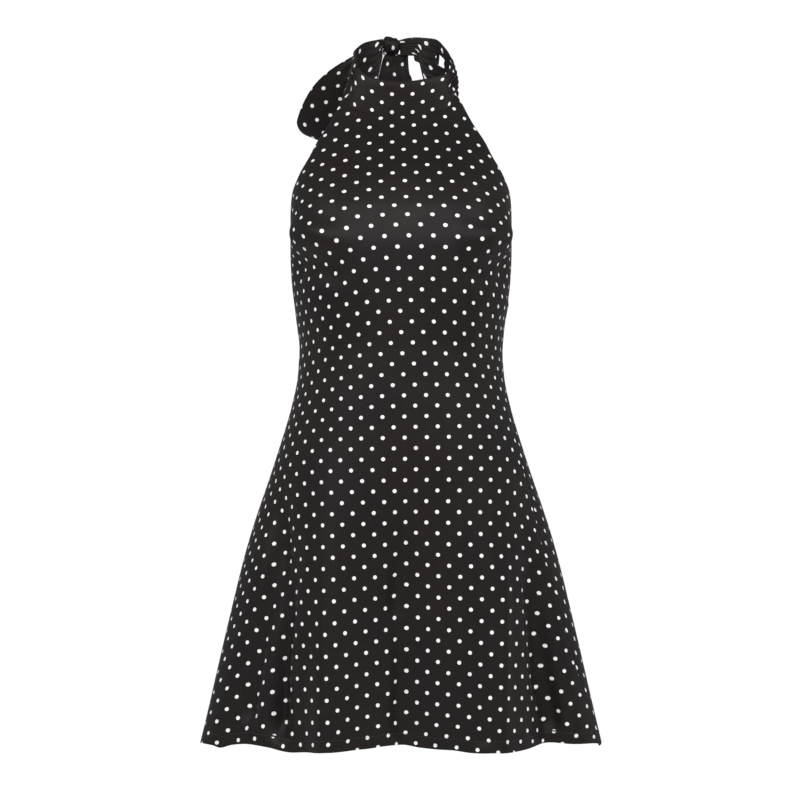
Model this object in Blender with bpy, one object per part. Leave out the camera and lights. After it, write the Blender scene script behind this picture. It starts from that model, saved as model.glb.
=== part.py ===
"""Halter-neck a-line mini dress, worn shape with nobody in it.

Metres, +Z up, the front of the dress faces -Y and the wearer's left is +X. The origin is the middle of the
neck ring, where the neck carries the dress. Every piece is a closed wall of cloth: front, back, the neck
strip that ties behind the neck, and its knot, two loops and two ends.
"""

import math
from collections import namedtuple

import bmesh
import bpy
import numpy as np
from mathutils import Vector

# Driving sizes -------------------------------------------------------------------------------------------
WALL = 0.0015            # front and back, turned edges included
STRIP_WALL = 0.0020      # the neck strip is doubled cloth
SEAM_GAP = 0.0003        # between pieces that are sewn or laid together
SEAM_TRIM = 0.0003       # off each panel at a side seam: the walls lean together behind their faces

NECK_FRONT_Z = -0.0695   # neck seam at centre front
NECK_SIDE_Z = -0.0430    # neck seam where it meets the armhole edge
NECK_SIDE_ANGLE = 67.0   # degrees from centre front to that corner
NECK_CURVE_END_Z = -0.165  # the rows of the front are level from here down
UNDERARM_Z = -0.190
BACK_DIP = 0.022         # how far the back's top edge falls from the underarm to centre back
BUST_Z = -0.235
WAIST_Z = -0.360
HEM_Z = -0.8425
HEM_SIDE_DROP = 0.0055
HEM_DROP_POWER = 6       # keeps that drop close to the side seams
HEM_CURVE_START_Z = -0.70

BODICE_ROWS = 9          # neck seam to bust
MIDRIFF_ROWS = 5         # bust to waist
SKIRT_ROWS = 11          # waist to hem
FRONT_COLUMNS = 52
BACK_COLUMNS = 36

# Level sections of front and back together, as worn. Angles are in degrees from centre front.
Section = namedtuple("Section", "z half_width front_depth back_depth squareness seam_left seam_right")
SECTIONS = (
    Section(-0.0430, 0.0785, 0.0460, 0.040, 2.00, 67.0, 67.0),
    Section(-0.0730, 0.0985, 0.0590, 0.050, 2.05, 62.5, 62.5),
    Section(-0.1100, 0.1235, 0.0885, 0.065, 2.20, 60.5, 60.5),
    Section(-0.1470, 0.1345, 0.1155, 0.078, 2.50, 71.0, 71.0),
    Section(-0.1650, 0.1364, 0.1255, 0.081, 2.65, 82.0, 82.0),
    Section(-0.1900, 0.1376, 0.1360, 0.084, 2.85, 90.0, 90.0),
    Section(-0.2350, 0.1376, 0.1430, 0.088, 3.00, 90.0, 90.0),
    Section(-0.2700, 0.1363, 0.1422, 0.087, 2.80, 90.0, 90.0),
    Section(-0.3150, 0.1313, 0.1400, 0.081, 2.40, 90.0, 90.0),
    Section(-0.3600, 0.1269, 0.1386, 0.077, 2.15, 90.0, 88.0),
    Section(-0.3900, 0.1289, 0.1386, 0.082, 2.18, 90.0, 84.5),
    Section(-0.4265, 0.1363, 0.1394, 0.090, 2.20, 90.0, 79.5),
    Section(-0.4825, 0.1530, 0.1398, 0.103, 2.16, 90.0, 72.0),
    Section(-0.6000, 0.1915, 0.1345, 0.121, 2.10, 91.0, 65.0),
    Section(-0.7000, 0.2165, 0.1265, 0.129, 2.10, 92.0, 68.0),
    Section(-0.8000, 0.2397, 0.1175, 0.135, 2.10, 92.0, 76.0),
    Section(-0.8500, 0.2515, 0.1125, 0.138, 2.10, 92.0, 80.0),
)

# Folds of the skirt, one row each: where its line starts and where it meets the hem, how far it reaches to
# either side, and how far it stands out there. A hollow has a negative rise.
Fold = namedtuple("Fold", "start_z start_x hem_x reach_left reach_right rise")
FRONT_FOLDS = (
    Fold(-0.47, -0.085, -0.092, 0.022, 0.038, 0.034),
    Fold(-0.50, -0.135, -0.212, 0.022, 0.024, -0.014),
    Fold(-0.58, 0.004, 0.006, 0.017, 0.030, -0.022),
    Fold(-0.50, 0.100, 0.122, 0.042, 0.020, 0.022),
    Fold(-0.50, 0.146, 0.180, 0.018, 0.026, -0.030),
)
BACK_FOLDS = (
    Fold(-0.48, -0.110, -0.135, 0.034, 0.024, 0.026),
    Fold(-0.52, -0.060, -0.072, 0.022, 0.026, -0.020),
    Fold(-0.46, 0.000, -0.006, 0.034, 0.034, 0.022),
    Fold(-0.52, 0.052, 0.066, 0.024, 0.020, -0.022),
    Fold(-0.48, 0.098, 0.128, 0.022, 0.036, 0.030),
)
FOLD_GROWTH = 1.25       # a fold deepens this power of the way down
FOLD_LIMIT = 1.05        # folds are fully out by this share of their length
FOLD_SIDE_POWER = 8      # folds die out close to the silhouette
FOLD_DROP = 0.07         # the hem hangs lower where a fold stands out, by this share of it

# The neck strip in sections by angle from centre front: its upper and its lower edge, each by its half
# width, its depth and its height. Up to the neck side the lower edge is the neck seam. The two ties end at
# the knot, which sits left of centre back.
NeckSection = namedtuple("NeckSection", "angle top_width top_depth top_z low_width low_depth low_z pleat")
NECK = (
    NeckSection(-160.2, 0.0710, 0.0740, 0.0400, 0.0700, 0.0740, 0.0212, 0.0006),
    NeckSection(-157.8, 0.0712, 0.0735, 0.0395, 0.0680, 0.0715, 0.0128, 0.0008),
    NeckSection(-155.5, 0.0713, 0.0725, 0.0389, 0.0665, 0.0695, 0.0042, 0.0009),
    NeckSection(-153.0, 0.0713, 0.0725, 0.0382, 0.0660, 0.0685, -0.0070, 0.0010),
    NeckSection(-150.5, 0.0714, 0.0720, 0.0376, 0.0660, 0.0670, -0.0165, 0.0011),
    NeckSection(-140.0, 0.0710, 0.0690, 0.0340, 0.0660, 0.0640, -0.0210, 0.0014),
    NeckSection(-120.0, 0.0670, 0.0630, 0.0235, 0.0680, 0.0580, -0.0260, 0.0017),
    NeckSection(-105.0, 0.0628, 0.0590, 0.0180, 0.0718, 0.0550, -0.0305, 0.0016),
    NeckSection(-90.0, 0.0612, 0.0540, 0.0120, 0.0738, 0.0520, -0.0350, 0.0013),
    NeckSection(-67.0, 0.0635, 0.0470, 0.0010, 0.0785, 0.0460, -0.0427, 0.0012),
    NeckSection(-50.0, 0.0670, 0.0390, -0.0095, 0.0785, 0.0460, -0.0540, 0.0002),
    NeckSection(-30.0, 0.0705, 0.0322, -0.0203, 0.0785, 0.0460, -0.0640, 0.0),
    NeckSection(0.0, 0.0715, 0.0292, -0.0252, 0.0785, 0.0460, -0.0690, 0.0),
    NeckSection(30.0, 0.0715, 0.0322, -0.0205, 0.0785, 0.0460, -0.0640, 0.0),
    NeckSection(50.0, 0.0712, 0.0400, -0.0155, 0.0785, 0.0460, -0.0540, 0.0002),
    NeckSection(67.0, 0.0700, 0.0510, -0.0080, 0.0785, 0.0460, -0.0427, 0.0012),
    NeckSection(90.0, 0.0667, 0.0560, 0.0045, 0.0700, 0.0520, -0.0350, 0.0013),
    NeckSection(105.0, 0.0656, 0.0595, 0.0122, 0.0690, 0.0550, -0.0305, 0.0016),
    NeckSection(120.0, 0.0667, 0.0630, 0.0238, 0.0670, 0.0580, -0.0260, 0.0017),
    NeckSection(140.0, 0.0694, 0.0680, 0.0378, 0.0660, 0.0630, -0.0200, 0.0014),
    NeckSection(152.5, 0.0712, 0.0705, 0.0406, 0.0660, 0.0660, -0.0135, 0.0012),
    NeckSection(155.5, 0.0713, 0.0710, 0.0410, 0.0660, 0.0675, -0.0020, 0.0011),
    NeckSection(159.0, 0.0714, 0.0720, 0.0413, 0.0660, 0.0690, 0.0130, 0.0010),
    NeckSection(163.5, 0.0715, 0.0730, 0.0415, 0.0665, 0.0710, 0.0195, 0.0009),
    NeckSection(181.0, 0.0710, 0.0740, 0.0388, 0.0700, 0.0740, 0.0210, 0.0006),
)
NECK_ANGLES = ((-160.2, 6), (-146.0, 15), (-67.0, 22), (67.0, 15), (146.0, 9), (181.0, 0))
NECK_ROWS = 11
NECK_PLEATS = 3.0
PLEAT_GAP_ANGLES = (121.0, 138.0)   # where two pleats of the wearer's left tie part
PLEAT_GAP_SHARES = (0.46, 0.73)

KNOT_CENTRE = Vector((-0.0130, 0.0745, 0.0330))
KNOT_RADII = Vector((0.0110, 0.0140, 0.0108))
KNOT_LOBES = 3           # the turns of cloth that show round it
KNOT_LOBE_RISE = 0.05
KNOT_LOBE_TURN = 1.2

# The bow: where each loop leaves the knot, the bend it goes through and its far end, the way that its width
# runs at either end, how its near layer leans aside, and how far its layers stand apart.
Loop = namedtuple("Loop", "start bend end start_across end_across lean swell")
LOOP_LEFT = Loop(
    Vector((-0.0243, 0.0798, 0.0301)),
    Vector((-0.0798, 0.0900, 0.0011)),
    Vector((-0.1136, 0.1060, -0.0814)),
    Vector((0.25, 0.10, -0.96)),
    Vector((3.400, -0.300, 1.250)),
    Vector((-0.38, 0.00, 0.37)),
    0.0170,
)
LOOP_RIGHT = Loop(
    Vector((-0.0014, 0.0800, 0.0319)),
    Vector((0.0590, 0.0900, 0.0550)),
    Vector((0.0380, 0.1140, -0.1000)),
    Vector((-0.34, 0.10, -0.935)),
    Vector((0.250, 0.950, -0.150)),
    Vector((0.00, 0.00, 0.00)),
    0.0080,
)
LOOP_NECK_WIDTH = 0.0165  # gathered into the knot
LOOP_WIDTH = 0.0480
LOOP_OPENING = 1.4       # how soon it spreads to its full width
LOOP_TWISTING = 1.3      # how soon its width has turned to its way at the far end
LOOP_SPACE = 0.0016      # from its middle line to either layer at the knot
LOOP_ROUNDING = 0.045    # its far corners fall short by this share of its length
LOOP_STEPS = 24
LOOP_COLUMNS = 6

# The two ends of the tie, from the knot down.
Station = namedtuple("Station", "share x y z width")
TAIL_LEFT = (
    Station(0.00, -0.0013, 0.0778, 0.0226, 0.0204),
    Station(0.04, -0.0053, 0.0780, 0.0144, 0.0290),
    Station(0.12, -0.0073, 0.0790, -0.0010, 0.0363),
    Station(0.16, -0.0070, 0.0800, -0.0092, 0.0422),
    Station(0.40, -0.0110, 0.0860, -0.0600, 0.0480),
    Station(0.70, -0.0160, 0.0930, -0.1200, 0.0490),
    Station(1.00, -0.0190, 0.0980, -0.1820, 0.0500),
)
TAIL_RIGHT = (
    Station(0.00, -0.0128, 0.0840, 0.0245, 0.0120),
    Station(0.10, -0.0120, 0.0880, 0.0060, 0.0240),
    Station(0.22, -0.0090, 0.0930, -0.0150, 0.0330),
    Station(0.42, -0.0010, 0.1010, -0.0550, 0.0460),
    Station(0.70, 0.0030, 0.1080, -0.1150, 0.0490),
    Station(1.00, 0.0060, 0.1120, -0.1720, 0.0500),
)
TAIL_SLANT = 0.06        # the ends are cut on a slant, in shares of their length
TAIL_STEPS = 12
TAIL_COLUMNS = 4
TAIL_WAVE = 0.0022       # it ripples a little on its way down
TAIL_WAVE_ACROSS = 2.2
TAIL_WAVE_DOWN = 5.0
TAIL_WAVE_START = 3.0

CLOTH_COLOUR = (0.021, 0.0185, 0.018, 1.0)
CLOTH_ROUGHNESS = 0.62


# Tables --------------------------------------------------------------------------------------------------
class SmoothTable:
    """Rows with named columns, read between rows along curves that never overshoot."""

    def __init__(self, rows):
        self.kind = type(rows[0])
        ordered = sorted(rows)
        self.at = np.array([row[0] for row in ordered])
        self.values = np.array([row[1:] for row in ordered])
        rise = np.diff(self.values, axis=0) / np.diff(self.at)[:, None]
        before, after = rise[:-1], rise[1:]
        same_way = before * after > 0
        total = np.where(same_way, before + after, 1.0)
        inner = np.where(same_way, 2 * before * after / total, 0.0)
        self.slopes = np.vstack([rise[:1], inner, rise[-1:]])

    def __call__(self, at):
        at = min(max(at, self.at[0]), self.at[-1])
        i = min(int(np.searchsorted(self.at, at, "right")) - 1, len(self.at) - 2)
        step = self.at[i + 1] - self.at[i]
        t = (at - self.at[i]) / step
        low, high = self.values[i], self.values[i + 1]
        start, end = self.slopes[i] * step, self.slopes[i + 1] * step
        curve = (
            low * (1 + 2 * t) * (1 - t) ** 2
            + high * t * t * (3 - 2 * t)
            + start * t * (1 - t) ** 2
            - end * t * t * (1 - t)
        )
        return self.kind(at, *curve)


def ease(share):
    """0 to 1 with level ends."""
    share = min(max(share, 0.0), 1.0)
    return share * share * (3 - 2 * share)


def mix(low, high, share):
    return low + (high - low) * share


def spaced(stops):
    """Values through the stops, given as (value, steps to the next)."""
    values = [stops[0][0]]
    for (start, steps), (end, _) in zip(stops, stops[1:]):
        values += [mix(start, end, k / steps) for k in range(1, steps + 1)]
    return values


# Making solids -------------------------------------------------------------------------------------------
def cloth_material(name):
    material = bpy.data.materials.new(name)
    material.use_nodes = True
    shader = material.node_tree.nodes["Principled BSDF"]
    shader.inputs["Base Color"].default_value = CLOTH_COLOUR
    shader.inputs["Roughness"].default_value = CLOTH_ROUGHNESS
    shader.inputs["Metallic"].default_value = 0.0
    return material


def add_object(name, mesh):
    """A named object with its own cloth material, from a bmesh that it then frees."""
    data = bpy.data.meshes.new(name)
    mesh.to_mesh(data)
    mesh.free()
    data.shade_smooth()
    data.set_sharp_from_angle(angle=math.radians(50))
    data.materials.append(cloth_material(name + "_cloth"))
    made = bpy.data.objects.new(name, data)
    bpy.context.scene.collection.objects.link(made)
    return made


def sheet(name, grid, wall, side, leave_out=None):
    """A cloth wall through rows of points.

    Side is where the wall lies: -1 behind the faces, 0 on both sides. leave_out(row, column) drops a face.
    """
    mesh = bmesh.new()
    corners = [[mesh.verts.new(point) for point in row] for row in grid]
    for i, (upper, lower) in enumerate(zip(corners, corners[1:])):
        for j in range(len(upper) - 1):
            if leave_out is None or not leave_out(i, j):
                mesh.faces.new((upper[j], lower[j], lower[j + 1], upper[j + 1]))
    bmesh.ops.triangulate(mesh, faces=mesh.faces[:], quad_method="SHORT_EDGE")
    loose = [corner for corner in mesh.verts if not corner.link_faces]
    bmesh.ops.delete(mesh, geom=loose, context="VERTS")
    made = add_object(name, mesh)
    thickness = made.modifiers.new("wall", "SOLIDIFY")
    thickness.thickness = wall
    thickness.offset = side
    thickness.use_even_offset = True
    thickness.use_quality_normals = True
    return made


# Front and back ------------------------------------------------------------------------------------------
section_at = SmoothTable(SECTIONS)
neck_at = SmoothTable(NECK)


def fold_rise(folds, x, z, half_width):
    """How far the folds push the cloth out from its plain section."""
    total = 0.0
    for fold in folds:
        down = (fold.start_z - z) / (fold.start_z - HEM_Z)
        if down <= 0:
            continue
        offset = x - mix(fold.start_x, fold.hem_x, down)
        reach = fold.reach_left if offset < 0 else fold.reach_right
        total += fold.rise * min(down, FOLD_LIMIT) ** FOLD_GROWTH * math.exp(-((offset / reach) ** 2))
    return total * (1 - min(abs(x) / half_width, 1.0) ** FOLD_SIDE_POWER)


def body_point(angle, z):
    """The cloth's outer face at an angle in radians from centre front, positive to +X, and a height."""
    size = section_at(z)
    side, front = math.sin(angle), math.cos(angle)
    power = 2 / size.squareness
    x = math.copysign(size.half_width * abs(side) ** power, side)
    if front > 0:
        rise = fold_rise(FRONT_FOLDS, x, z, size.half_width)
        y = -size.front_depth * front**power - rise
    else:
        rise = fold_rise(BACK_FOLDS, x, z, size.half_width)
        y = size.back_depth * (-front) ** power + rise
    return Vector((x, y, z - FOLD_DROP * rise))


def neck_seam_z(across):
    """Height of the neck seam at a share of the way from centre front, -1 to 1."""
    side = math.radians(NECK_SIDE_ANGLE)
    return mix(NECK_FRONT_Z, NECK_SIDE_Z, (1 - math.cos(across * side)) / (1 - math.cos(side)))


def hem_z(z, across):
    """A row's height at a share from the centre, -1 to 1: rows near the hem bend down at the sides."""
    share = ease((HEM_CURVE_START_Z - z) / (HEM_CURVE_START_Z - HEM_Z))
    return z - HEM_SIDE_DROP * share * across**HEM_DROP_POWER


def trimmed(points):
    """A row of points whose two ends stop short of the side seams."""
    for end, inner in ((0, 1), (-1, -2)):
        inward = (points[inner] - points[end]).normalized()
        points[end] = points[end] + inward * SEAM_TRIM
    return points


def front_point(across, level):
    """The front's outer face at a share of the way from its centre to either edge, -1 to 1."""
    size = section_at(level)
    edge = size.seam_right if across > 0 else size.seam_left
    return body_point(across * math.radians(edge), level)


def front_row(z):
    """Points of the front at one row, named by its height at centre front."""
    bend = 1 - ease((NECK_FRONT_Z - z) / (NECK_FRONT_Z - NECK_CURVE_END_Z))
    points = []
    for k in range(FRONT_COLUMNS + 1):
        across = mix(-1.0, 1.0, k / FRONT_COLUMNS)
        level = hem_z(z + bend * (neck_seam_z(across) - NECK_FRONT_Z), across)
        points.append(front_point(across, level))
    return trimmed(points)


def back_row(z, top):
    """Points of the back at one row, from the wearer's left seam round behind to the right one."""
    points = []
    for k in range(BACK_COLUMNS + 1):
        across = mix(-1.0, 1.0, k / BACK_COLUMNS)
        level = hem_z(z + top * BACK_DIP * across**2, across)
        size = section_at(level)
        edge = size.seam_right if across < 0 else size.seam_left
        points.append(body_point(math.pi + across * (math.pi - math.radians(edge)), level))
    return trimmed(points)


def make_front():
    heights = spaced(
        ((NECK_FRONT_Z, BODICE_ROWS), (BUST_Z, MIDRIFF_ROWS), (WAIST_Z, SKIRT_ROWS), (HEM_Z, 0))
    )
    return sheet("front_panel", [front_row(z) for z in heights], WALL, -1)


def make_back():
    top_z = UNDERARM_Z - BACK_DIP
    heights = spaced(((top_z, 2 + MIDRIFF_ROWS), (WAIST_Z, SKIRT_ROWS), (HEM_Z, 0)))
    rows = [back_row(z, 1 - ease((top_z - z) / (top_z - WAIST_Z))) for z in heights]
    return sheet("back_panel", rows, WALL, -1)


# The neck strip ------------------------------------------------------------------------------------------
def neck_point(angle, share):
    """The strip's middle at an angle in degrees and a share from its lower to its upper edge."""
    size = neck_at(angle)
    turn = math.radians(angle)
    side, front = math.sin(turn), math.cos(turn)
    top = Vector((size.top_width * side, -size.top_depth * front, size.top_z))
    low = Vector((size.low_width * side, -size.low_depth * front, size.low_z))
    if abs(angle) <= NECK_SIDE_ANGLE:
        low = front_point(angle / NECK_SIDE_ANGLE, neck_seam_z(angle / NECK_SIDE_ANGLE))
        inward = Vector((-side, front, 0)) * STRIP_WALL / 2
        low += inward + Vector((0, 0, 2 * SEAM_GAP))
    outward = Vector((side / size.top_width, -front / size.top_depth, 0)).normalized()
    pleats = size.pleat * math.sin(2 * math.pi * NECK_PLEATS * share) * math.sin(math.pi * share) ** 0.5
    return low.lerp(top, share) + outward * pleats


def make_neck_band():
    angles = spaced(NECK_ANGLES)
    shares = [k / NECK_ROWS for k in range(NECK_ROWS + 1)]
    grid = [[neck_point(angle, 1 - share) for angle in angles] for share in shares]

    def in_pleat_gap(row, column):
        angle = (angles[column] + angles[column + 1]) / 2
        share = 1 - (shares[row] + shares[row + 1]) / 2
        across = (angle - PLEAT_GAP_ANGLES[0]) / (PLEAT_GAP_ANGLES[1] - PLEAT_GAP_ANGLES[0])
        along = (share - PLEAT_GAP_SHARES[0]) / (PLEAT_GAP_SHARES[1] - PLEAT_GAP_SHARES[0])
        return 0 < across < 1 and 0 < along < 1

    return sheet("neck_band", grid, STRIP_WALL, 0, in_pleat_gap)


def make_knot():
    mesh = bmesh.new()
    bmesh.ops.create_uvsphere(mesh, u_segments=18, v_segments=10, radius=1.0)
    for corner in mesh.verts:
        turn = math.atan2(corner.co.z, corner.co.x)
        lobes = math.cos(KNOT_LOBES * turn + KNOT_LOBE_TURN)
        wrap = 1 + KNOT_LOBE_RISE * lobes * (1 - corner.co.y**2)
        corner.co = KNOT_CENTRE + corner.co * KNOT_RADII * wrap
    return add_object("knot", mesh)


def bend_point(loop, share):
    """A point on the loop's middle line and the line's direction there."""
    first = loop.start.lerp(loop.bend, share)
    second = loop.bend.lerp(loop.end, share)
    return first.lerp(second, share), (second - first).normalized()


def loop_point(loop, turn, across):
    """A point of the bow's strip, which goes out as turn runs from 0 to pi and comes back by 2 pi."""
    share = (1 - math.cos(turn)) / 2 * (1 - LOOP_ROUNDING * across**4)
    middle, along = bend_point(loop, share)
    width_way = loop.start_across.lerp(loop.end_across, ease(share * LOOP_TWISTING))
    width_way = (width_way - along * width_way.dot(along)).normalized()
    face = (along.cross(width_way) + loop.lean * ease(share)).normalized()
    swell = loop.swell * math.sin(turn) * abs(math.sin(turn / 2)) + LOOP_SPACE * math.cos(turn / 2)
    width = mix(LOOP_NECK_WIDTH, LOOP_WIDTH, ease(share * LOOP_OPENING))
    return middle + face * swell + width_way * (across * width / 2)


def make_loop(name, loop):
    grid = []
    for i in range(LOOP_STEPS + 1):
        turn = 2 * math.pi * i / LOOP_STEPS
        grid.append([loop_point(loop, turn, mix(-1, 1, j / LOOP_COLUMNS)) for j in range(LOOP_COLUMNS + 1)])
    return sheet(name, grid, STRIP_WALL, 0)


def make_tail(name, stations, slant):
    station_at = SmoothTable(stations)
    grid = []
    for i in range(TAIL_STEPS + 1):
        row = []
        for j in range(TAIL_COLUMNS + 1):
            across = mix(-1.0, 1.0, j / TAIL_COLUMNS)
            share = i / TAIL_STEPS * (1 - TAIL_SLANT + slant * TAIL_SLANT * across)
            at = station_at(share)
            turn = TAIL_WAVE_ACROSS * across + TAIL_WAVE_DOWN * share
            wave = TAIL_WAVE * math.sin(turn) * ease(share * TAIL_WAVE_START)
            row.append(Vector((at.x + across * at.width / 2, at.y + wave, at.z)))
        grid.append(row)
    return sheet(name, grid, STRIP_WALL, 0)


def main():
    for old in list(bpy.data.objects):
        bpy.data.objects.remove(old)
    make_front()
    make_back()
    make_neck_band()
    make_knot()
    make_loop("bow_loop_left", LOOP_LEFT)
    make_loop("bow_loop_right", LOOP_RIGHT)
    make_tail("tail_left", TAIL_LEFT, 1)
    make_tail("tail_right", TAIL_RIGHT, -1)


main()
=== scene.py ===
"""Looks of the halter-neck a-line mini dress: cloth, print, folds, gathers, stitching, light and camera.

Metres, +Z up, the front of the dress faces -Y and the wearer's left is +X. Every cloth piece is a thin shell
that lies on the form of its solid, with the finer folds, pleats and turned edges added.
"""

import logging
import math
from collections import namedtuple
from dataclasses import dataclass, field
from enum import Enum
from typing import Callable, Optional, Sequence

import bmesh
import bpy
import numpy as np
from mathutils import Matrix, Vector


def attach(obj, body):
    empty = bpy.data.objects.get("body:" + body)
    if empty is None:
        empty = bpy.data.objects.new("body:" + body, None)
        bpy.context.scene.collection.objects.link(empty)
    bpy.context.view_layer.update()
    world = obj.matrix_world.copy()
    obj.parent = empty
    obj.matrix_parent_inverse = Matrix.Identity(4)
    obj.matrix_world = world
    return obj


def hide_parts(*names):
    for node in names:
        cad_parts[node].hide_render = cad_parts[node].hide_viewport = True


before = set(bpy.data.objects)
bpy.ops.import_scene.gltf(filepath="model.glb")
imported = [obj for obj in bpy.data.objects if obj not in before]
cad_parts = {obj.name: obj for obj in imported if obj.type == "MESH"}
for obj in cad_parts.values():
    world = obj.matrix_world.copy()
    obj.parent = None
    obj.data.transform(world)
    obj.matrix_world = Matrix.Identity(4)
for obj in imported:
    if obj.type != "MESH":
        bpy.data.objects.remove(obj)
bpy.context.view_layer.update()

log = logging.getLogger("dress")

Array = np.ndarray
Object = bpy.types.Object
Material = bpy.types.Material
Socket = bpy.types.NodeSocket


def each(kind: Callable, *values: tuple) -> tuple:
    """The rows of a table, each as the given kind of named tuple."""
    return tuple(kind(*row) for row in values)


# Sizes shared by all pieces --------------------------------
SHELL = 0.0011  # one layer of the satin jersey as a shell
STRIP_SHELL = 0.0019  # the neck strip is doubled
SEAM_TUCK = 0.0008  # how far the neck strip's seamed edge goes down behind the front's
GRAIN = 0.013  # half a repeat of the print, relaxed, along and across the cloth
DOT_DIAMETER = 0.0048
HEM_ALLOWANCE = 0.0155  # turned up inside
SEAM_STILL = 0.0040  # creases die out this close to a side seam
SEAM_REACH = 0.0016  # how near a seam the cloth dips into it
SEAM_DEPTH = 0.0006
STITCH_PITCH = 0.0042
STITCH_LENGTH = 0.0029
THREAD_RADIUS = 0.00026
STITCH_FROM_EDGE = 0.002  # from the turned hem's upper edge
STITCH_PROUD = 0.3 * THREAD_RADIUS

# The turned-up hem in rows: how far inside the lower edge and how far above it.
HemTurn = namedtuple("HemTurn", "depth rise")
HEM_TURN = each(
    HemTurn,
    (0.0, -0.0006), (0.0009, -0.0007), (0.0016, 0.0002), (0.0017, 0.25 * HEM_ALLOWANCE),
    (0.0017, 0.6 * HEM_ALLOWANCE), (0.0017, HEM_ALLOWANCE),
)

NECK_FRONT_Z = -0.0695
NECK_SIDE_Z = -0.0430
NECK_SIDE_ANGLE = 67.0
NECK_CURVE_END_Z = -0.165
UNDERARM_Z = -0.190
BACK_DIP = 0.022
WAIST_Z = -0.360
HEM_Z = -0.8425
HEM_SIDE_DROP = 0.0055
HEM_DROP_POWER = 6
HEM_CURVE_START_Z = -0.70

# Level sections of front and back together, as worn. Angles are in degrees from centre front, left being -X.
Section = namedtuple("Section", "z half_width front_depth back_depth squareness seam_left seam_right")
SECTIONS = each(
    Section,
    (-0.043, 0.0785, 0.046, 0.04, 2.0, 67.0, 67.0),
    (-0.073, 0.0985, 0.059, 0.05, 2.05, 62.5, 62.5),
    (-0.11, 0.1235, 0.0885, 0.065, 2.2, 60.5, 60.5),
    (-0.147, 0.1345, 0.1155, 0.078, 2.5, 71.0, 71.0),
    (-0.165, 0.1364, 0.1255, 0.081, 2.65, 82.0, 82.0),
    (-0.19, 0.1376, 0.136, 0.084, 2.85, 90.0, 90.0),
    (-0.235, 0.1376, 0.143, 0.088, 3.0, 90.0, 90.0),
    (-0.27, 0.1363, 0.1422, 0.087, 2.8, 90.0, 90.0),
    (-0.315, 0.1313, 0.14, 0.081, 2.4, 90.0, 90.0),
    (-0.36, 0.1269, 0.1386, 0.077, 2.15, 90.0, 88.0),
    (-0.39, 0.1289, 0.1386, 0.082, 2.18, 90.0, 84.5),
    (-0.4265, 0.1363, 0.1394, 0.09, 2.2, 90.0, 79.5),
    (-0.4825, 0.153, 0.1398, 0.103, 2.16, 90.0, 72.0),
    (-0.6, 0.1915, 0.1345, 0.121, 2.1, 91.0, 65.0),
    (-0.7, 0.2165, 0.1265, 0.129, 2.1, 92.0, 68.0),
    (-0.8, 0.2397, 0.1175, 0.135, 2.1, 92.0, 76.0),
    (-0.85, 0.2515, 0.1125, 0.138, 2.1, 92.0, 80.0),
)

# Main folds of the skirt: where each line starts and where it meets the hem, its reach to either side, and
# how far it stands out there. A hollow has a negative rise.
Fold = namedtuple("Fold", "start_z start_x hem_x reach_left reach_right rise")
FRONT_FOLDS = each(
    Fold,
    (-0.47, -0.085, -0.092, 0.022, 0.038, 0.034),
    (-0.5, -0.135, -0.212, 0.022, 0.024, -0.014),
    (-0.58, 0.004, 0.006, 0.017, 0.03, -0.022),
    (-0.5, 0.1, 0.122, 0.042, 0.02, 0.022),
    (-0.5, 0.146, 0.18, 0.018, 0.026, -0.03),
)
BACK_FOLDS = each(
    Fold,
    (-0.48, -0.11, -0.135, 0.034, 0.024, 0.026),
    (-0.52, -0.06, -0.072, 0.022, 0.026, -0.02),
    (-0.46, 0.0, -0.006, 0.034, 0.034, 0.022),
    (-0.52, 0.052, 0.066, 0.024, 0.02, -0.022),
    (-0.48, 0.098, 0.128, 0.022, 0.036, 0.03),
)
FOLD_GROWTH = 1.25  # the power with which a fold grows on its way down
FOLD_LIMIT = 1.05
FOLD_SIDE_POWER = 8  # how late a fold dies out towards a side seam
FOLD_DROP = 0.07  # how far the cloth hangs lower where a fold stands out, as a share

# How far the front's hem hangs below its plain line, from side to side.
HemWave = namedtuple("HemWave", "x drop")
HEM_WAVES = each(
    HemWave,
    (-0.25, 0.0), (-0.233, 0.002), (-0.223, 0.005), (-0.208, 0.001), (-0.185, -0.0024), (-0.16, 0.0),
    (-0.134, 0.0046), (-0.108, 0.0004), (-0.09, -0.0024), (-0.044, -0.0024), (-0.017, -0.0046),
    (0.004, -0.0024), (0.023, 0.0), (0.059, 0.0), (0.086, 0.0022), (0.114, 0.001), (0.144, 0.0022),
    (0.174, 0.0), (0.216, -0.0012), (0.24, -0.0022),
)
HEM_WAVE_START_Z = -0.765

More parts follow.
